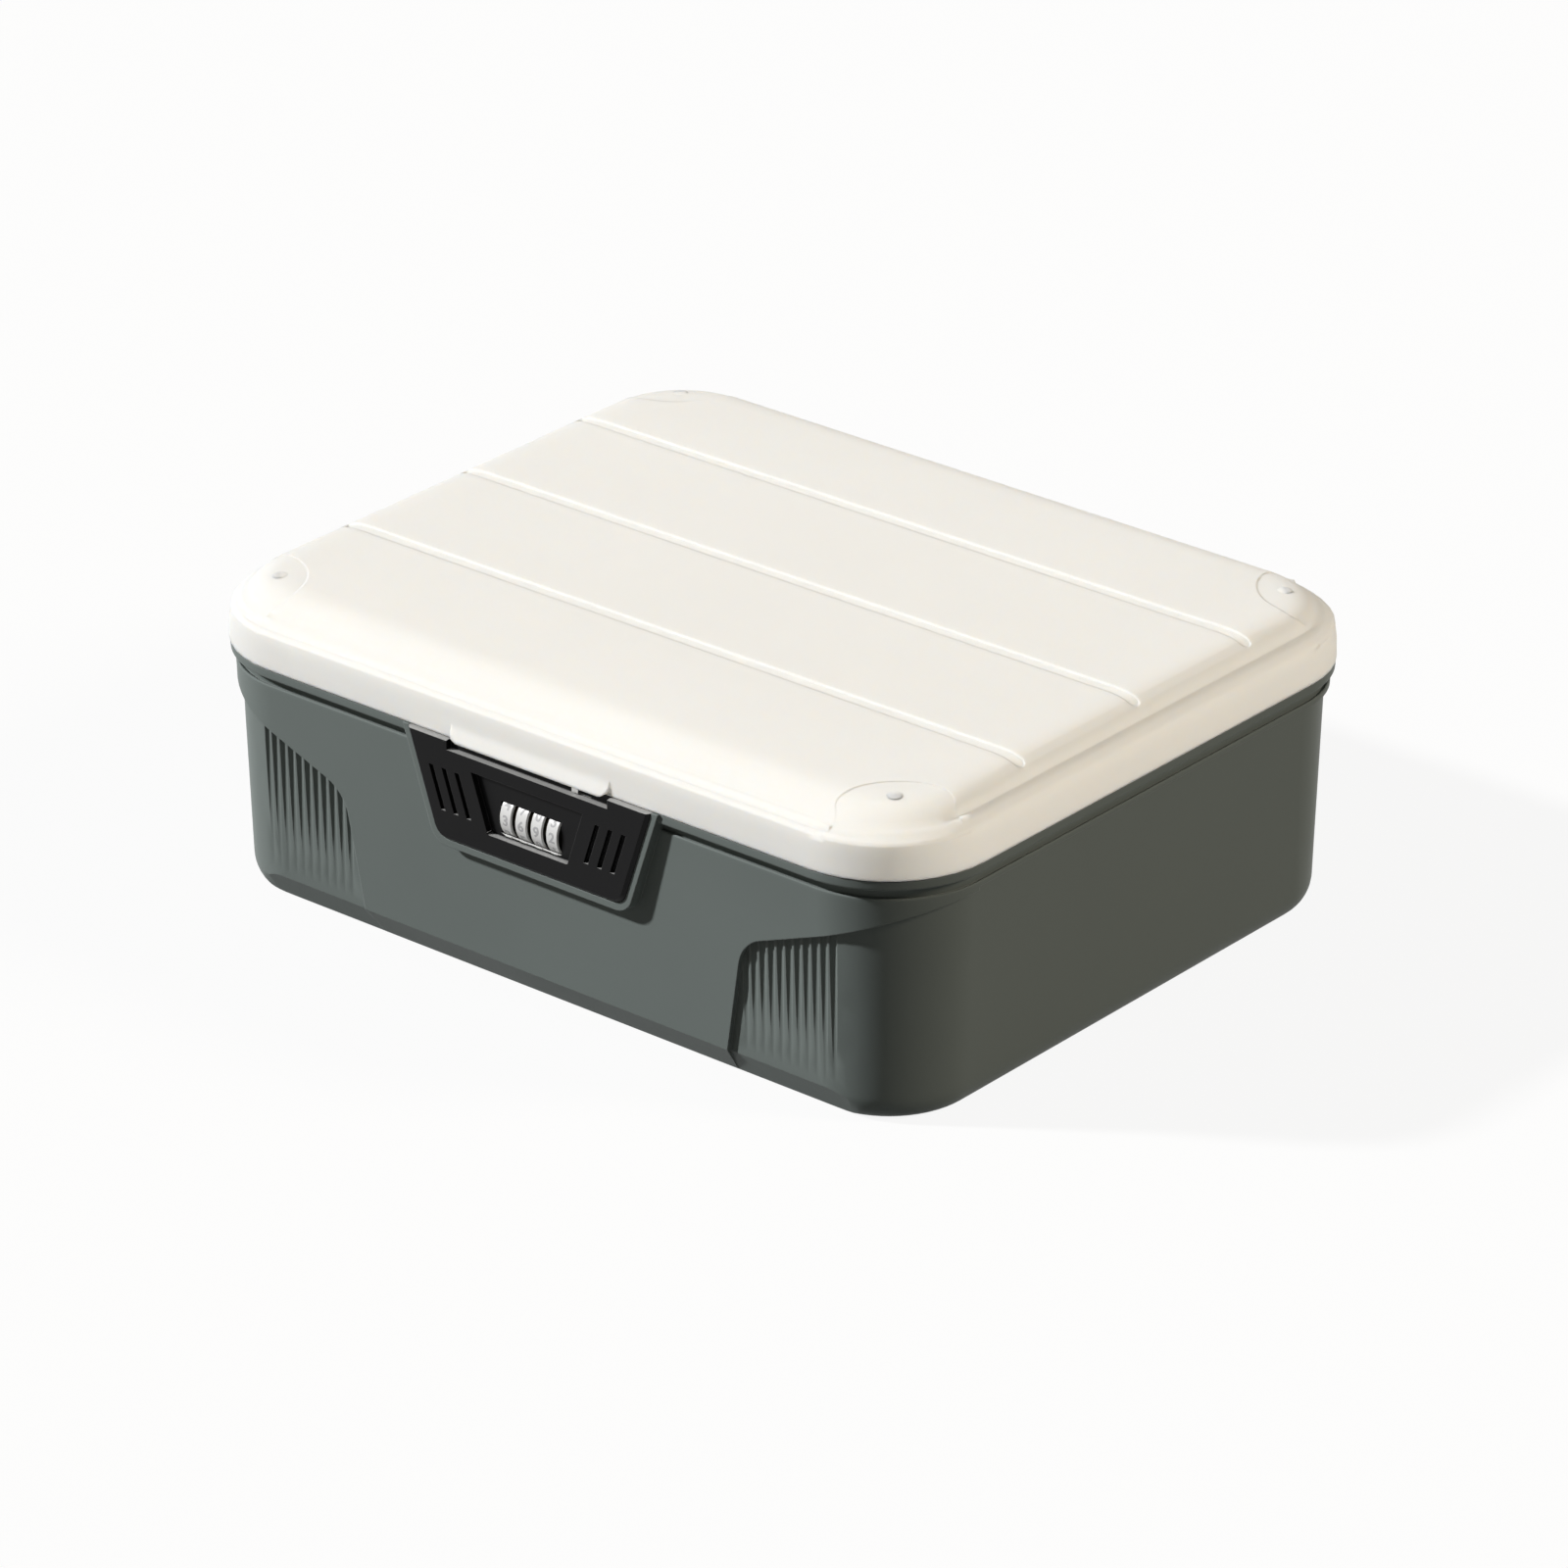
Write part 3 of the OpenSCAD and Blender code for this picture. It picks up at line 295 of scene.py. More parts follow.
def edge_wear():
    """Mask of the outer edges, broken up by noise, for wear and for a painted edge highlight, and the
    softened normal.
    """
    tree, given, out = new_group(
        "edge_wear",
        [("Radius", "NodeSocketFloat", 0.0005), ("Breakup", "NodeSocketFloat", 0.6),
         ("Full at", "NodeSocketFloat", 0.86)],
        [("Mask", "NodeSocketFloat"), ("Normal", "NodeSocketVector")])
    soft = add(tree, "ShaderNodeBevel", samples=6)
    tree.links.new(given.outputs["Radius"], soft.inputs["Radius"])
    flat = add(tree, "ShaderNodeNewGeometry")
    dot = add(tree, "ShaderNodeVectorMath", operation="DOT_PRODUCT")
    tree.links.new(soft.outputs["Normal"], dot.inputs[0])
    tree.links.new(flat.outputs["Normal"], dot.inputs[1])
    turned = ramp(tree, dot.outputs["Value"], low=1.0, high=given.outputs["Full at"])
    place = add(tree, "ShaderNodeTexCoord")
    noise = feed(tree, add(tree, "ShaderNodeTexNoise"), Vector=place.outputs["Object"], Scale=260.0,
                 Detail=4.0, Roughness=0.65)
    kept = ramp(tree, noise.outputs["Fac"], low=0.35, high=0.65, to_low=0.25)
    mixed = add(tree, "ShaderNodeMix", data_type="FLOAT")
    tree.links.new(given.outputs["Breakup"], mixed.inputs["Factor"])
    mixed.inputs["A"].default_value = 1.0
    tree.links.new(kept, mixed.inputs["B"])
    tree.links.new(math_node(tree, "MULTIPLY", turned, mixed.outputs["Result"]), out.inputs["Mask"])
    tree.links.new(soft.outputs["Normal"], out.inputs["Normal"])
    return tree


def upward_film():
    """Mask of faces that look up and lie in the open, for a pale painted highlight on the ledges."""
    tree, given, out = new_group(
        "upward_film", [("Patchiness", "NodeSocketFloat", 0.4)], [("Mask", "NodeSocketFloat")])
    place = add(tree, "ShaderNodeTexCoord")
    parts = add(tree, "ShaderNodeSeparateXYZ")
    tree.links.new(place.outputs["Normal"], parts.inputs[0])
    # Faces that look up get the painted highlight, less of it in sheltered corners
    up = ramp(tree, parts.outputs["Z"], low=0.75, high=0.98)
    noise = feed(tree, add(tree, "ShaderNodeTexNoise"), Vector=place.outputs["Object"], Scale=700.0,
                 Detail=3.0, Roughness=0.6)
    thin = math_node(tree, "MULTIPLY", noise.outputs["Fac"], given.outputs["Patchiness"])
    shelter = add(tree, "ShaderNodeAmbientOcclusion", samples=6, only_local=True)
    shelter.inputs["Distance"].default_value = 1.2 * MM
    open_air = ramp(tree, shelter.outputs["AO"], low=0.35, high=0.8)
    film = math_node(tree, "MULTIPLY", math_node(tree, "MULTIPLY", up, open_air),
                     math_node(tree, "SUBTRACT", 1.0, thin))
    tree.links.new(film, out.inputs["Mask"])
    return tree


def place_group(tree, group, **values):
    node = add(tree, "ShaderNodeGroup", node_tree=group)
    return feed(tree, node, **values)


def tinted(tree, mask, colour, other):
    """Mixes two colours by a mask; each is a colour or a socket."""
    node = add(tree, "ShaderNodeMix", data_type="RGBA", clamp_factor=True)
    tree.links.new(mask, node.inputs["Factor"])
    for title, value in (("A", colour), ("B", other)):
        socket = [s for s in node.inputs if s.name == title and s.type == "RGBA"][0]
        if isinstance(value, bpy.types.NodeSocket):
            tree.links.new(value, socket)
        else:
            socket.default_value = (*value, 1.0)
    return [s for s in node.outputs if s.type == "RGBA"][0]


def blended(tree, share, first, second):
    """Mixes two shader nodes; share is a number or a socket, and 1 gives the second."""
    node = add(tree, "ShaderNodeMixShader")
    if isinstance(share, bpy.types.NodeSocket):
        tree.links.new(share, node.inputs[0])
    else:
        node.inputs[0].default_value = share
    tree.links.new(first.outputs[0], node.inputs[1])
    tree.links.new(second.outputs[0], node.inputs[2])
    return node


def shade(colour, factor):
    return tuple(min(1.0, c * factor) for c in colour)


def add_relief(tree, surface, depth, height, normal):
    """Gives the surface a fine relief of the given depth over its softened edges."""
    bump = feed(tree, add(tree, "ShaderNodeBump"), Strength=1.0, Distance=depth, Height=height, Normal=normal)
    tree.links.new(bump.outputs["Normal"], surface.inputs["Normal"])


def plain_material(name):
    material = bpy.data.materials.new(name)
    material.use_nodes = True
    tree = material.node_tree
    return material, tree, tree.nodes["Principled BSDF"]


def moulded(name, colour, roughness, grain, grain_depth, edge, mottle, edge_paling, specular=0.5,
            milkiness=0.0, reach=0.0, sharp=0.86):
    """Injection-moulded plastic: mottle in the colour, a fine grain, softened and slightly paler edges: wear,
    and where sharp is near 1, as on the tub, a painted highlight along the edges.

    Milkiness is the share of light that travels inside the plastic, over the distance reach.
    Edges are fully paler where half their turn has a cosine of sharp."""
    material, tree, surface = plain_material(name)
    skin = place_group(tree, GROUPS["grain"], Grain_size=grain, Waviness=0.3)
    edges = place_group(tree, GROUPS["edge_paling"], Radius=edge, Breakup=0.6, Full_at=sharp)
    cloud = ramp(tree, skin.outputs["Mottle"], *NOISE_RANGE)
    base = tinted(tree, cloud, shade(colour, 1 - mottle), shade(colour, 1 + mottle))
    # Paler edges: wear on most parts, a painted highlight along the tub's sharp edges
    paler_edges = math_node(tree, "MULTIPLY", edges.outputs["Mask"], edge_paling)
    paler = tuple(c + (1 - c) * EDGE_PALER for c in colour)
    tree.links.new(tinted(tree, paler_edges, base, paler), surface.inputs["Base Color"])
    rough = ramp(tree, skin.outputs["Mottle"], *NOISE_RANGE, roughness - PLASTIC_SPREAD,
                 roughness + PLASTIC_SPREAD)
    smoother = math_node(tree, "MULTIPLY", paler_edges, WORN_SMOOTHER)
    tree.links.new(math_node(tree, "SUBTRACT", rough, smoother), surface.inputs["Roughness"])
    add_relief(tree, surface, grain_depth, skin.outputs["Height"], edges.outputs["Normal"])
    surface.inputs["Specular IOR Level"].default_value = specular
    surface.inputs["Subsurface Weight"].default_value = milkiness
    surface.inputs["Subsurface Radius"].default_value = MILK_REACH
    surface.inputs["Subsurface Scale"].default_value = reach
    return material


def black_moulded(name, colour, roughness, edge):
    """The lock's black plastic, with a pale painted highlight on its ledges and worn edges."""
    material, tree, surface = plain_material(name)
    skin = place_group(tree, GROUPS["grain"], Grain_size=0.25 * MM, Waviness=0.2)
    edges = place_group(tree, GROUPS["edge_paling"], Radius=edge, Breakup=0.5)
    film = place_group(tree, GROUPS["film"], Patchiness=0.3)
    cloud = ramp(tree, skin.outputs["Mottle"], *NOISE_RANGE)
    base = tinted(tree, cloud, shade(colour, 0.8), shade(colour, 1.25))
    rubbed = math_node(tree, "MULTIPLY", edges.outputs["Mask"], RUBBED_SHARE)
    # Ledges that face up are painted pale, as a highlight where light would catch them
    filmed = math_node(tree, "MULTIPLY", film.outputs["Mask"], LEDGE_HIGHLIGHT_SHARE)
    paler_edges = tinted(tree, rubbed, base, RUBBED_GREY)
    tree.links.new(tinted(tree, filmed, paler_edges, LEDGE_HIGHLIGHT_GREY), surface.inputs["Base Color"])
    rough = ramp(tree, skin.outputs["Mottle"], *NOISE_RANGE, roughness - PLASTIC_SPREAD,
                 roughness + PLASTIC_SPREAD)
    tree.links.new(rough, surface.inputs["Roughness"])
    add_relief(tree, surface, 0.006 * MM, skin.outputs["Height"], edges.outputs["Normal"])
    surface.inputs["Specular IOR Level"].default_value = 0.1
    return material


def metal(name, colour, roughness, streak=(1.0, 1.0, 1.0)):
    """Plated or cast metal: fine streaks along one direction, brighter edges."""
    material, tree, surface = plain_material(name)
    place = add(tree, "ShaderNodeTexCoord")
    stretch = feed(tree, add(tree, "ShaderNodeMapping"), Vector=place.outputs["Object"], Scale=streak)
    lines = feed(tree, add(tree, "ShaderNodeTexNoise"), Vector=stretch.outputs["Vector"], Scale=900.0,
                 Detail=4.0, Roughness=0.6)
    edges = place_group(tree, GROUPS["edge_paling"], Radius=0.15 * MM, Breakup=0.4)
    cloud = ramp(tree, lines.outputs["Fac"], *NOISE_RANGE)
    base = tinted(tree, cloud, shade(colour, 0.82), shade(colour, 1.08))
    rubbed = math_node(tree, "MULTIPLY", edges.outputs["Mask"], METAL_RUBBED_SHARE)
    tree.links.new(tinted(tree, rubbed, base, shade(colour, 1.3)), surface.inputs["Base Color"])
    rough = ramp(tree, lines.outputs["Fac"], *NOISE_RANGE, roughness - METAL_SPREAD, roughness + METAL_SPREAD)
    tree.links.new(rough, surface.inputs["Roughness"])
    add_relief(tree, surface, 0.004 * MM, lines.outputs["Fac"], edges.outputs["Normal"])
    surface.inputs["Metallic"].default_value = 1.0
    return material


# Mesh helpers


def finish_mesh(name, shape, materials, body, slot, *nodes):
    """Turns a bmesh into a piece at the origin that rides on a body and stands for CAD nodes."""
    mesh = bpy.data.meshes.new(name)
    shape.to_mesh(mesh)
    shape.free()
    for material in materials:
        mesh.materials.append(material)
    piece = bpy.data.objects.new(name, mesh)
    bpy.context.scene.collection.objects.link(piece)
    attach(piece, body)
    if nodes:
        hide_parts(*nodes)
    return piece


def smoothed_copy(node, name, materials, slot, crease=28.0, change=None):
    """The node's own shape with merged corners, smooth except at edges that turn by more than the crease."""
    shape = bmesh.new()
    shape.from_mesh(frame["nodes"][node].data)
    bmesh.ops.remove_doubles(shape, verts=shape.verts, dist=CAD_SEAM)
    if change:
        change(shape)
    for face in shape.faces:
        face.smooth = True
        face.material_index = 0
    limit = math.radians(crease)
    for edge in shape.edges:
        edge.smooth = len(edge.link_faces) == 2 and edge.calc_face_angle(0.0) < limit
    return finish_mesh(name, shape, materials, BODY_OF[node], slot, node)


def refinish(node, material):
    """Gives a CAD node that keeps its own shape a better material."""
    obj = frame["nodes"][node]
    obj.data.materials.clear()
    obj.data.materials.append(material)


# Operators


class LOCKBOX_OT_stage(bpy.types.Operator):
    """Set up the floor, the backdrop, the lights and the camera"""

    bl_idname = "lockbox.stage"
    bl_label = "Studio"
    floor_half = 6.0
    floor_gap = 0.2 * MM
    glow_share = 0.9
    paper_colour = (0.92, 0.92, 0.91, 1.0)
    sky_colour = (1.0, 0.96, 0.88, 1.0)
    sky_from, sky_to = -0.1, 0.6
    horizon_strength, zenith_strength = 1.3, 0.1
    # Each lamp's name, its azimuth from +X and its elevation, its colour and how wide it looks, in degrees
    lamps = (("left_light", 217.0, 33.0, (1.0, 1.0, 1.0), 4.0),
             ("right_light", 30.0, 30.0, (1.0, 0.88, 0.72), 14.0),
             ("lid_light", -16.0, 3.0, (1.0, 0.94, 0.85), 60.0))

    def execute(self, context):
        studio = context.scene.lockbox_studio
        self.floor(studio)
        self.world(context.scene, studio)
        self.lights(studio)
        self.camera(context.scene, studio)
        return {"FINISHED"}

    def floor(self, studio):
        shape = bmesh.new()
        bmesh.ops.create_grid(shape, x_segments=1, y_segments=1, size=self.floor_half)
        bmesh.ops.translate(shape, verts=shape.verts, vec=(0, 0, -self.floor_gap))
        mesh = bpy.data.meshes.new("floor")
        shape.to_mesh(mesh)
        shape.free()
        floor = bpy.data.objects.new("floor", mesh)
        bpy.context.scene.collection.objects.link(floor)
        mesh.materials.append(self.paper(studio))

    def paper(self, studio):
        """White paper where it is seen, which sends only some of its light back to the box."""
        material = bpy.data.materials.new("floor_paper")
        material.use_nodes = True
        tree = material.node_tree
        tree.nodes.clear()
        out = add(tree, "ShaderNodeOutputMaterial")
        seen = seen_rays(tree)
        sheet = feed(tree, add(tree, "ShaderNodeBsdfDiffuse"), Color=self.paper_colour)
        glow = feed(tree, add(tree, "ShaderNodeEmission"), Color=WHITE, Strength=1.0)
        grey = feed(tree, add(tree, "ShaderNodeBsdfDiffuse"), Color=(*(studio.bounce,) * 3, 1.0))
        white = blended(tree, self.glow_share, sheet, glow)
        tree.links.new(blended(tree, seen, grey, white).outputs[0], out.inputs["Surface"])
        return material

    def world(self, scene, studio):
        world = bpy.data.worlds.new("studio")
        scene.world = world
        world.use_nodes = True
        tree = world.node_tree
        tree.nodes.clear()
        out = add(tree, "ShaderNodeOutputWorld")
        shown = seen_rays(tree)
        place = add(tree, "ShaderNodeTexCoord")
        parts = add(tree, "ShaderNodeSeparateXYZ")
        tree.links.new(place.outputs["Generated"], parts.inputs[0])
        height = ramp(tree, parts.outputs["Z"], self.sky_from, self.sky_to,
                      self.horizon_strength, self.zenith_strength)
        sky = feed(tree, add(tree, "ShaderNodeBackground"), Color=self.sky_colour,
                   Strength=math_node(tree, "MULTIPLY", height, studio.sky))
        white = feed(tree, add(tree, "ShaderNodeBackground"), Color=WHITE, Strength=1.0)
        tree.links.new(blended(tree, shown, sky, white).outputs[0], out.inputs["Surface"])

    def lights(self, studio):
        for name, azimuth, elevation, colour, width in self.lamps:
            data = bpy.data.lights.new(name, "SUN")
            data.energy = getattr(studio, name)
            data.angle = math.radians(width)
            data.color = colour
            lamp = bpy.data.objects.new(name, data)
            bpy.context.scene.collection.objects.link(lamp)
            round_z = math.radians(azimuth)
            rise = math.radians(elevation)
            direction = Vector((math.cos(round_z) * math.cos(rise), math.sin(round_z) * math.cos(rise),
                                math.sin(rise)))
            lamp.matrix_world = direction.to_track_quat("Z", "Y").to_matrix().to_4x4()
            if name == "lid_light":
                lamp.light_linking.receiver_collection = bpy.data.collections.new(LID_LIT)

    def camera(self, scene, studio):
        azimuth = studio.camera_azimuth
        rise = studio.camera_elevation
        back = Vector((math.sin(azimuth) * math.cos(rise), -math.cos(azimuth) * math.cos(rise),
                       math.sin(rise)))
        right = Vector((math.cos(azimuth), math.sin(azimuth), 0.0))
        up = back.cross(right)
        data = bpy.data.cameras.new("camera")
        data.sensor_width = 36.0
        data.lens = studio.lens
        data.clip_end = 50.0
        camera = bpy.data.objects.new("camera", data)
        scene.collection.objects.link(camera)
        turn = Matrix((right, up, back)).transposed().to_4x4()
        spot = back * studio.camera_distance + right * studio.camera_shift[0] + up * studio.camera_shift[1]
        camera.matrix_world = Matrix.Translation(spot) @ turn
        scene.camera = camera


class LOCKBOX_OT_tub(bpy.types.Operator):
    """Dress the moulded tub"""

    bl_idname = "lockbox.tub"
    bl_label = "Tub"

    def execute(self, context):
        finish = context.scene.lockbox_finishes
        # The tub's paler edges, fully paler already at shallow edges, are a painted highlight along its edges
        material = moulded("tub_plastic", finish.tub_colour, finish.tub_roughness, grain=0.38 * MM,
                           grain_depth=0.01 * MM, edge=finish.edge_round, mottle=0.035, edge_paling=0.35,
                           specular=0.05, sharp=0.97)
        smoothed_copy("base_tub", "tub", [material], "tub_plastic")
        return {"FINISHED"}


class LOCKBOX_OT_lid(bpy.types.Operator):
    """Dress the moulded lid"""

    bl_idname = "lockbox.lid"
    bl_label = "Lid"
    pad_zone = Vector((45 * MM, 55 * MM, 11 * MM))
    upright_below = 0.05
    looks_up_above = 0.45
    tolerance = 0.01 * MM
    fade_drop = 6 * MM
    step_at_edge = 0.1

    def execute(self, context):
        finish = context.scene.lockbox_finishes
        material = moulded("lid_plastic", finish.lid_colour, finish.lid_roughness, grain=0.45 * MM,
                           grain_depth=0.012 * MM, edge=finish.lid_edge_round, mottle=0.012, edge_paling=0.15,
                           specular=0.12, milkiness=0.8, reach=2.5 * MM)
        lid = smoothed_copy("lid_shell", "lid", [material], "lid_plastic", crease=32.0,
                            change=lambda shape: self.raise_pads(shape, finish.pad_step))
        bpy.data.collections[LID_LIT].objects.link(lid)
        return {"FINISHED"}

    def raise_pads(self, shape, step):
        """Leaves the corner pads only a slight step, which dies out towards the lid's edge.

        A pad's floor starts below a low upright wall near a corner, and spreads over faces that look up."""
        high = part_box("lid_shell")[1]
        shape.normal_update()
        floors, tops, feet, depth = self.pad_walls(shape, high - self.pad_zone)
        edge_x = min(abs(v.co.x) for v in feet) - self.tolerance
        edge_y = min(abs(v.co.y) for v in feet) - self.tolerance
        ahead = list(floors)
        while ahead:
            for edge in ahead.pop().edges:
                for face in edge.link_faces:
                    inside = all(abs(v.co.x) > edge_x and abs(v.co.y) > edge_y for v in face.verts)
                    looks_up = face.normal.z > self.looks_up_above
                    if inside and looks_up and face not in floors and face not in tops:
                        floors.add(face)
                        ahead.append(face)
        flat = high.z - depth
        for vert in {vert for face in floors for vert in face.verts}:
            if vert.co.z > flat + self.tolerance:
                vert.co.z = high.z - step + (vert.co.z - flat) * step / depth
            else:
                slope = min(1.0, max(0.0, (flat - vert.co.z) / self.fade_drop))
                vert.co.z += depth - step * (1 - (1 - self.step_at_edge) * slope)

    def pad_walls(self, shape, near):
        """The faces below and above the pads' upright walls, the walls' foot points and the pads' depth."""
        floors, tops, feet, depth = set(), set(), set(), 0.0
        for edge in shape.edges:
            middle = (edge.verts[0].co + edge.verts[1].co) / 2
            in_zone = abs(middle.x) > near.x and abs(middle.y) > near.y and middle.z > near.z
            if in_zone and len(edge.link_faces) == 2:
                wall, level = sorted(edge.link_faces, key=lambda face: abs(face.normal.z))
                if abs(wall.normal.z) < self.upright_below and level.normal.z > self.looks_up_above:
                    if wall.calc_center_median().z > middle.z:
                        floors.add(level)
                        feet.update(edge.verts)
                        depth = max([depth] + [self.upright(side) for side in wall.edges])
                    else:
                        tops.add(level)
        return floors, tops, feet, depth

    def upright(self, edge):
        """Length of an upright edge, or 0 for any other."""
        run = edge.verts[1].co - edge.verts[0].co
        return abs(run.z) if math.hypot(run.x, run.y) < self.tolerance else 0.0


class LOCKBOX_OT_faceplate(bpy.types.Operator):
    """Dress the lock's faceplate"""

    bl_idname = "lockbox.faceplate"
    bl_label = "Faceplate"
    marks_below_axis = (-6.2 * MM, -5.5 * MM)

    def execute(self, context):
        finish = context.scene.lockbox_finishes
        material = black_moulded("lock_plastic", finish.lock_colour, finish.lock_roughness, edge=0.25 * MM)
        paint = moulded("index_paint", finish.dial_colour, roughness=0.4, grain=0.3 * MM,
                        grain_depth=0.003 * MM, edge=0.08 * MM, mottle=0.04, edge_paling=0.0)
        plate = smoothed_copy("lock_faceplate", "faceplate", [material, paint], "lock_plastic")
        self.paint_marks(plate.data)
        for node in ("lock_case", "lock_cover"):
            refinish(node, material)
        return {"FINISHED"}

    def paint_marks(self, mesh):
        """Gives the raised index marks under the dials their own paint."""
        low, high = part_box("dial_wheel_1")
        middle = (low.z + high.z) / 2
        lowest, highest = self.marks_below_axis
        for polygon in mesh.polygons:
            heights = [mesh.vertices[i].co.z - middle for i in polygon.vertices]
            if max(heights) < highest and min(heights) > lowest:
                polygon.material_index = 1


class LOCKBOX_OT_dials(bpy.types.Operator):
    """Make the numbered dials"""

    bl_idname = "lockbox.dials"
    bl_label = "Dials"
    ring_wall = 2.2 * MM
    dish_height, dish_depth = 0.5 * MM, 0.02 * MM
    ring_steps = 80
    sharp_turn = math.radians(25)
    cap_height = 0.7
    ink_proud = 0.03 * MM
    ink_swell = 0.12 * MM
    slices = 8
    lead_per_dial = 3

    def execute(self, context):
        finish = context.scene.lockbox_finishes
        sizes = context.scene.lockbox_dials
        rim = moulded("dial_rim", finish.dial_colour, roughness=0.3, grain=0.3 * MM,
                      grain_depth=0.004 * MM, edge=0.12 * MM, mottle=0.03, edge_paling=0.1)
        sides = moulded("dial_side", finish.lock_colour, roughness=0.4, grain=0.3 * MM,
                        grain_depth=0.005 * MM, edge=0.12 * MM, mottle=0.1, edge_paling=0.1, specular=0.25)
        ink = moulded("dial_ink", finish.numeral_colour, roughness=0.55, grain=0.2 * MM,
                      grain_depth=0.003 * MM, edge=0.05 * MM, mottle=0.15, edge_paling=0.0)
        for i in range(WHEEL_COUNT):
            node = "dial_wheel_%d" % (i + 1)
            self.wheel(node, "dial_%d" % (i + 1), [rim, sides], sizes)
            self.numerals(node, "numerals_%d" % (i + 1), ink, sizes, i)
        return {"FINISHED"}

    def measure(self, node):
        """A dial's centre, half its width and its radius."""
        low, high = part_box(node)
        return (low + high) / 2, (high.x - low.x) / 2, (high.z - low.z) / 2

    def wheel(self, node, name, materials, sizes):
        """A closed ring spun from its section, with chamfered rims and a shallow dish in each side."""
        centre, half, radius = self.measure(node)
        bore = radius - self.ring_wall
        chamfer = sizes.rim_chamfer
        shoulder = radius - chamfer
        left = [(-half, bore), (-half, shoulder - self.dish_height), (-half + self.dish_depth, shoulder),
                (-half + chamfer, radius)]
        section = left + [(-x, r) for x, r in reversed(left)]
        shape = bmesh.new()
        verts = [shape.verts.new((x, 0.0, r)) for x, r in section]
        edges = [shape.edges.new((verts[i], verts[(i + 1) % len(verts)])) for i in range(len(verts))]
        bmesh.ops.spin(shape, geom=verts + edges, cent=(0, 0, 0), axis=(1, 0, 0), dvec=(0, 0, 0),
                       angle=2 * math.pi, steps=self.ring_steps, use_merge=True, use_duplicate=False)
        bmesh.ops.remove_doubles(shape, verts=shape.verts, dist=SAME_POINT)
        bmesh.ops.recalc_face_normals(shape, faces=shape.faces)
        for face in shape.faces:
            outward = face.calc_center_median()
            at_rim = math.hypot(outward.y, outward.z) > shoulder
            face.material_index = 0 if at_rim else 1
            face.smooth = True
        for edge in shape.edges:
            edge.smooth = edge.calc_face_angle(0.0) < self.sharp_turn
        bmesh.ops.translate(shape, verts=shape.verts, vec=centre)
        finish_mesh(name, shape, materials, BODY_OF[node], "dial_plastic", node)

    def numerals(self, node, name, ink, sizes, order):
        """Numerals 0 to 9 wrapped round the rim."""
        centre, _, radius = self.measure(node)
        shape = bmesh.new()
        for digit in range(NUMERAL_COUNT):
            self.digit(shape, digit, radius, sizes, order)
        bmesh.ops.translate(shape, verts=shape.verts, vec=centre)
        finish_mesh(name, shape, [ink], BODY_OF[node], "dial_plastic")

    def digit(self, shape, digit, radius, sizes, order):
        """One numeral, cut into slices and bent round the rim to its place."""
        curve = bpy.data.curves.new("digit", "FONT")
        curve.body = str(digit)
        curve.align_x = "CENTER"
        curve.align_y = "CENTER"
        curve.size = sizes.numeral_height / self.cap_height
        curve.extrude = self.ink_proud
        curve.offset = self.ink_swell
        text = bpy.data.objects.new("digit", curve)
        bpy.context.scene.collection.objects.link(text)
        bpy.context.view_layer.update()
        mesh = bpy.data.meshes.new_from_object(text.evaluated_get(bpy.context.evaluated_depsgraph_get()))
        bpy.data.objects.remove(text)
        part = bmesh.new()
        part.from_mesh(mesh)
        bpy.data.meshes.remove(mesh)
        bmesh.ops.remove_doubles(part, verts=part.verts, dist=SAME_POINT)
        top = max(v.co.y for v in part.verts)
        low = min(v.co.y for v in part.verts)
        for k in range(1, self.slices):
            cut = low + (top - low) * k / self.slices
            bmesh.ops.bisect_plane(part, geom=part.verts[:] + part.edges[:] + part.faces[:],
                                   plane_co=(0, cut, 0), plane_no=(0, 1, 0))
        middle = (top + low) / 2
        steps = digit - sizes.shown_numeral - self.lead_per_dial * order
        turn = 2 * math.pi / NUMERAL_COUNT * steps
        for v in part.verts:
            angle = (v.co.y - middle) / radius + turn
            r = radius + v.co.z
            v.co = (v.co.x, -r * math.cos(angle), r * math.sin(angle))
        bmesh.ops.recalc_face_normals(part, faces=part.faces)
        bent = bpy.data.meshes.new("digit")
        part.to_mesh(bent)
        part.free()
        shape.from_mesh(bent)
        bpy.data.meshes.remove(bent)


class LOCKBOX_OT_mechanism(bpy.types.Operator):
    """Finish the lock's working parts"""

    bl_idname = "lockbox.mechanism"
    bl_label = "Lock parts"

    def execute(self, context):
        finish = context.scene.lockbox_finishes
        plated = metal("zinc_plate", finish.plate_colour, roughness=0.34, streak=(0.2, 1.0, 1.0))
        spring = metal("spring_steel", finish.spring_colour, roughness=0.30, streak=(0.15, 1.0, 1.0))
        cast = metal("cast_brass", finish.brass_colour, roughness=0.42)
        for node in ("locking_spindle", "latch_plate", "strike_plate"):
            refinish(node, plated)
        for node in ("spindle_clip", "dial_detent", "spindle_detent"):
            refinish(node, spring)
        for node in ("gate_ring_1", "gate_ring_2", "gate_ring_3", "gate_ring_4", "code_slide"):
            refinish(node, cast)
        return {"FINISHED"}


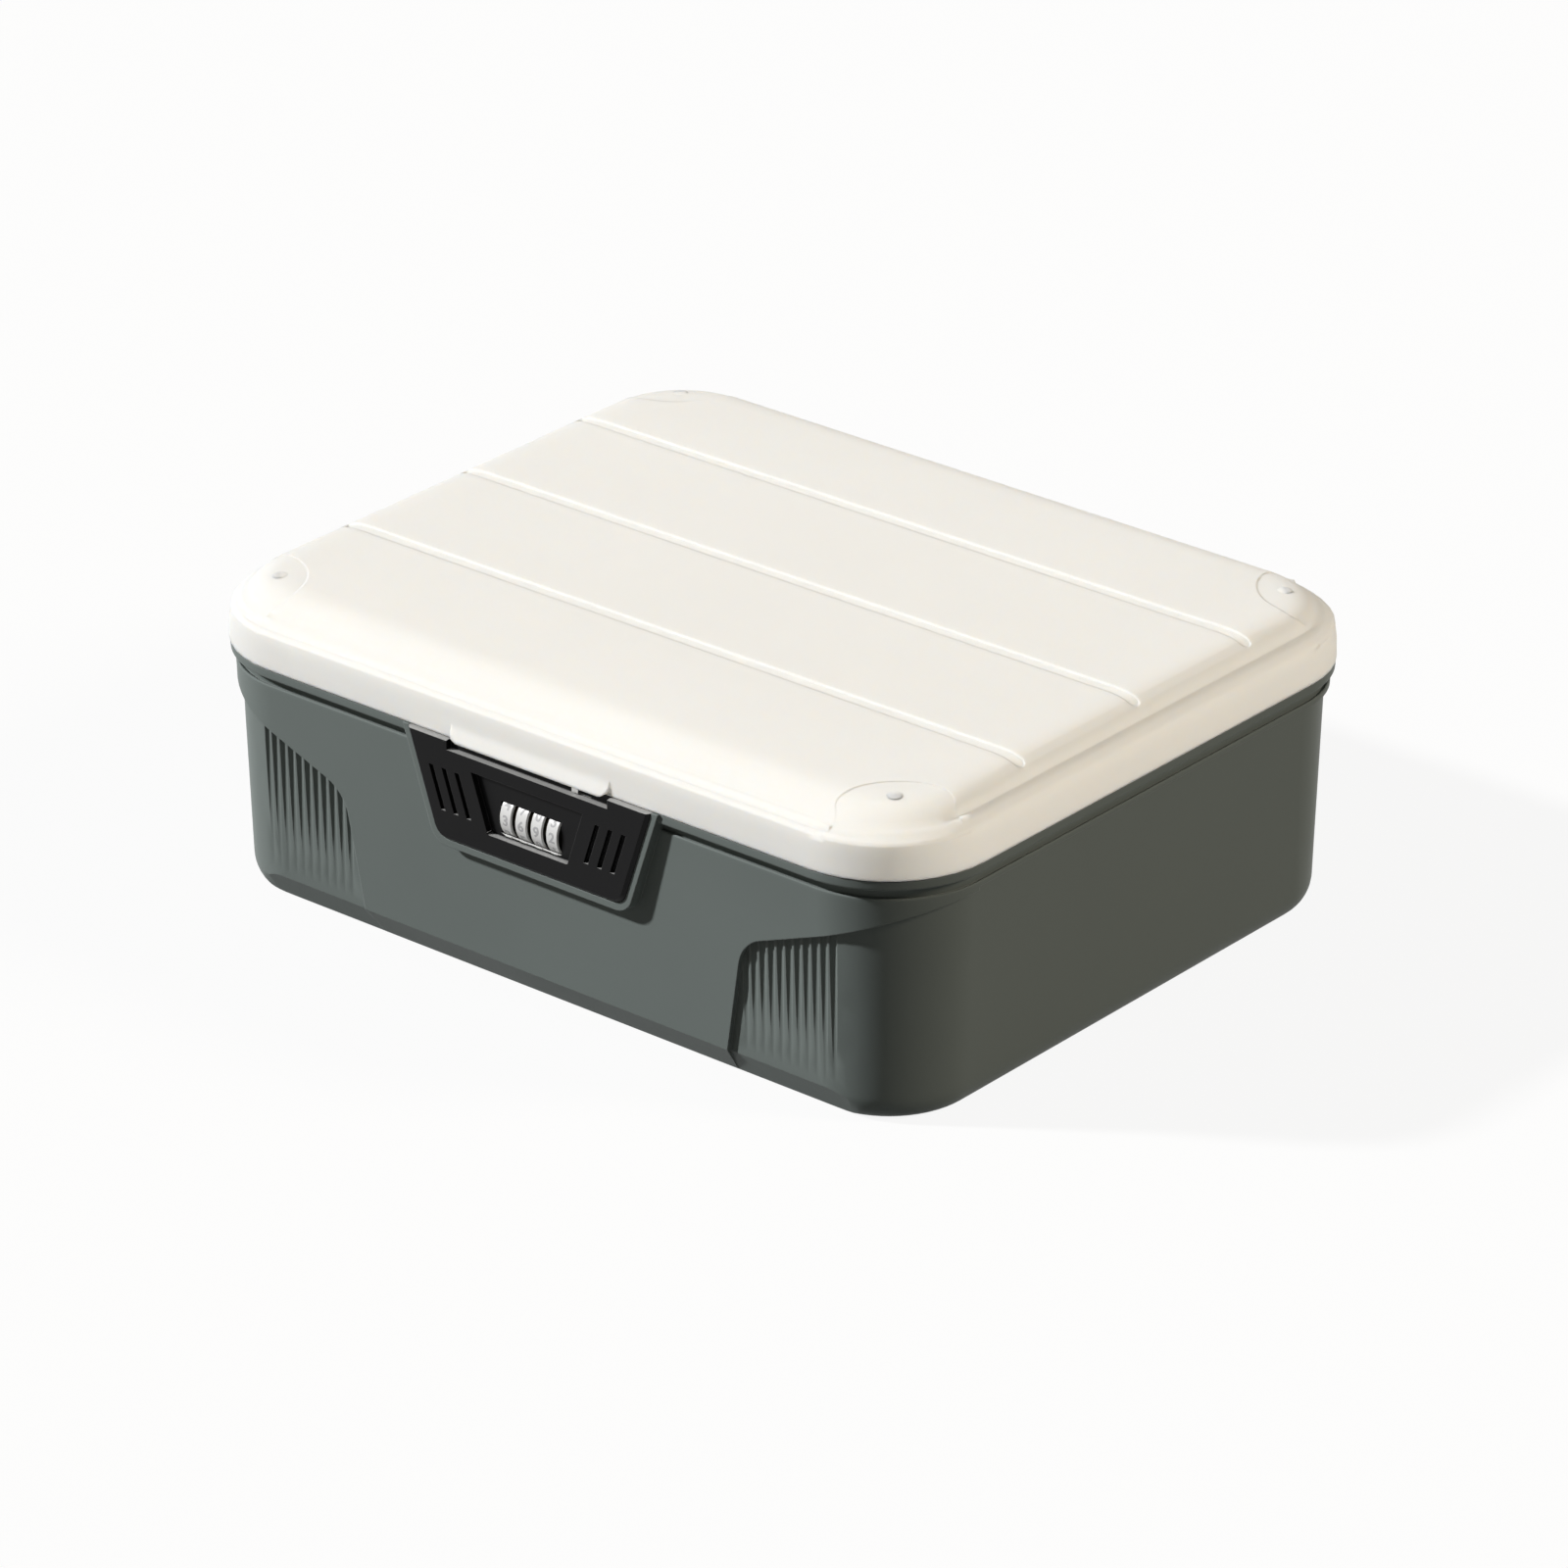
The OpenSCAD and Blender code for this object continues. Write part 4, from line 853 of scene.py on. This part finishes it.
class LOCKBOX_OT_fasteners(bpy.types.Operator):
    """Finish the screws and the hinge pins"""

    bl_idname = "lockbox.fasteners"
    bl_label = "Screws and pins"

    def execute(self, context):
        finish = context.scene.lockbox_finishes
        screw = metal("screw_zinc", finish.screw_colour, roughness=0.3)
        pin = metal("ground_pin", finish.pin_colour, roughness=0.25, streak=(0.1, 1.0, 1.0))
        for node in ("lock_screws", "cover_screws", "strike_screws"):
            refinish(node, screw)
        for node in ("hinge_pin_left", "hinge_pin_right"):
            refinish(node, pin)
        return {"FINISHED"}


class LOCKBOX_PT_panel(bpy.types.Panel):
    """Buttons and settings of the lock box"""

    bl_idname = "LOCKBOX_PT_panel"
    bl_label = "Lock Box"
    bl_space_type = "VIEW_3D"
    bl_region_type = "UI"
    bl_category = "Lock Box"

    def draw(self, context):
        layout = self.layout
        for operator in OPERATORS:
            layout.operator(operator.bl_idname)
        scene = context.scene
        for group in (scene.lockbox_finishes, scene.lockbox_dials, scene.lockbox_studio):
            box = layout.box()
            for name in type(group).__annotations__:
                box.prop(group, name)


OPERATORS = (LOCKBOX_OT_stage, LOCKBOX_OT_tub, LOCKBOX_OT_lid, LOCKBOX_OT_faceplate, LOCKBOX_OT_dials,
             LOCKBOX_OT_mechanism, LOCKBOX_OT_fasteners)
CLASSES = (LockBoxFinishes, LockBoxDials, LockBoxStudio, *OPERATORS, LOCKBOX_PT_panel)
GROUPS = {}


def register():
    for item in CLASSES:
        bpy.utils.register_class(item)
    bpy.types.Scene.lockbox_finishes = bpy.props.PointerProperty(type=LockBoxFinishes)
    bpy.types.Scene.lockbox_dials = bpy.props.PointerProperty(type=LockBoxDials)
    bpy.types.Scene.lockbox_studio = bpy.props.PointerProperty(type=LockBoxStudio)


def unregister():
    del bpy.types.Scene.lockbox_studio
    del bpy.types.Scene.lockbox_dials
    del bpy.types.Scene.lockbox_finishes
    for item in reversed(CLASSES):
        bpy.utils.unregister_class(item)


def build_groups():
    GROUPS["grain"] = moulded_grain()
    GROUPS["edge_paling"] = edge_wear()
    GROUPS["film"] = upward_film()


def main():
    register()
    scene = bpy.context.scene
    scene.view_settings.view_transform = "Standard"
    build_groups()
    for operator in OPERATORS:
        space, name = operator.bl_idname.split(".")
        if getattr(getattr(bpy.ops, space), name)() != {"FINISHED"}:
            raise RuntimeError(operator.bl_idname + " was cancelled")


if __name__ == "__main__":
    main()
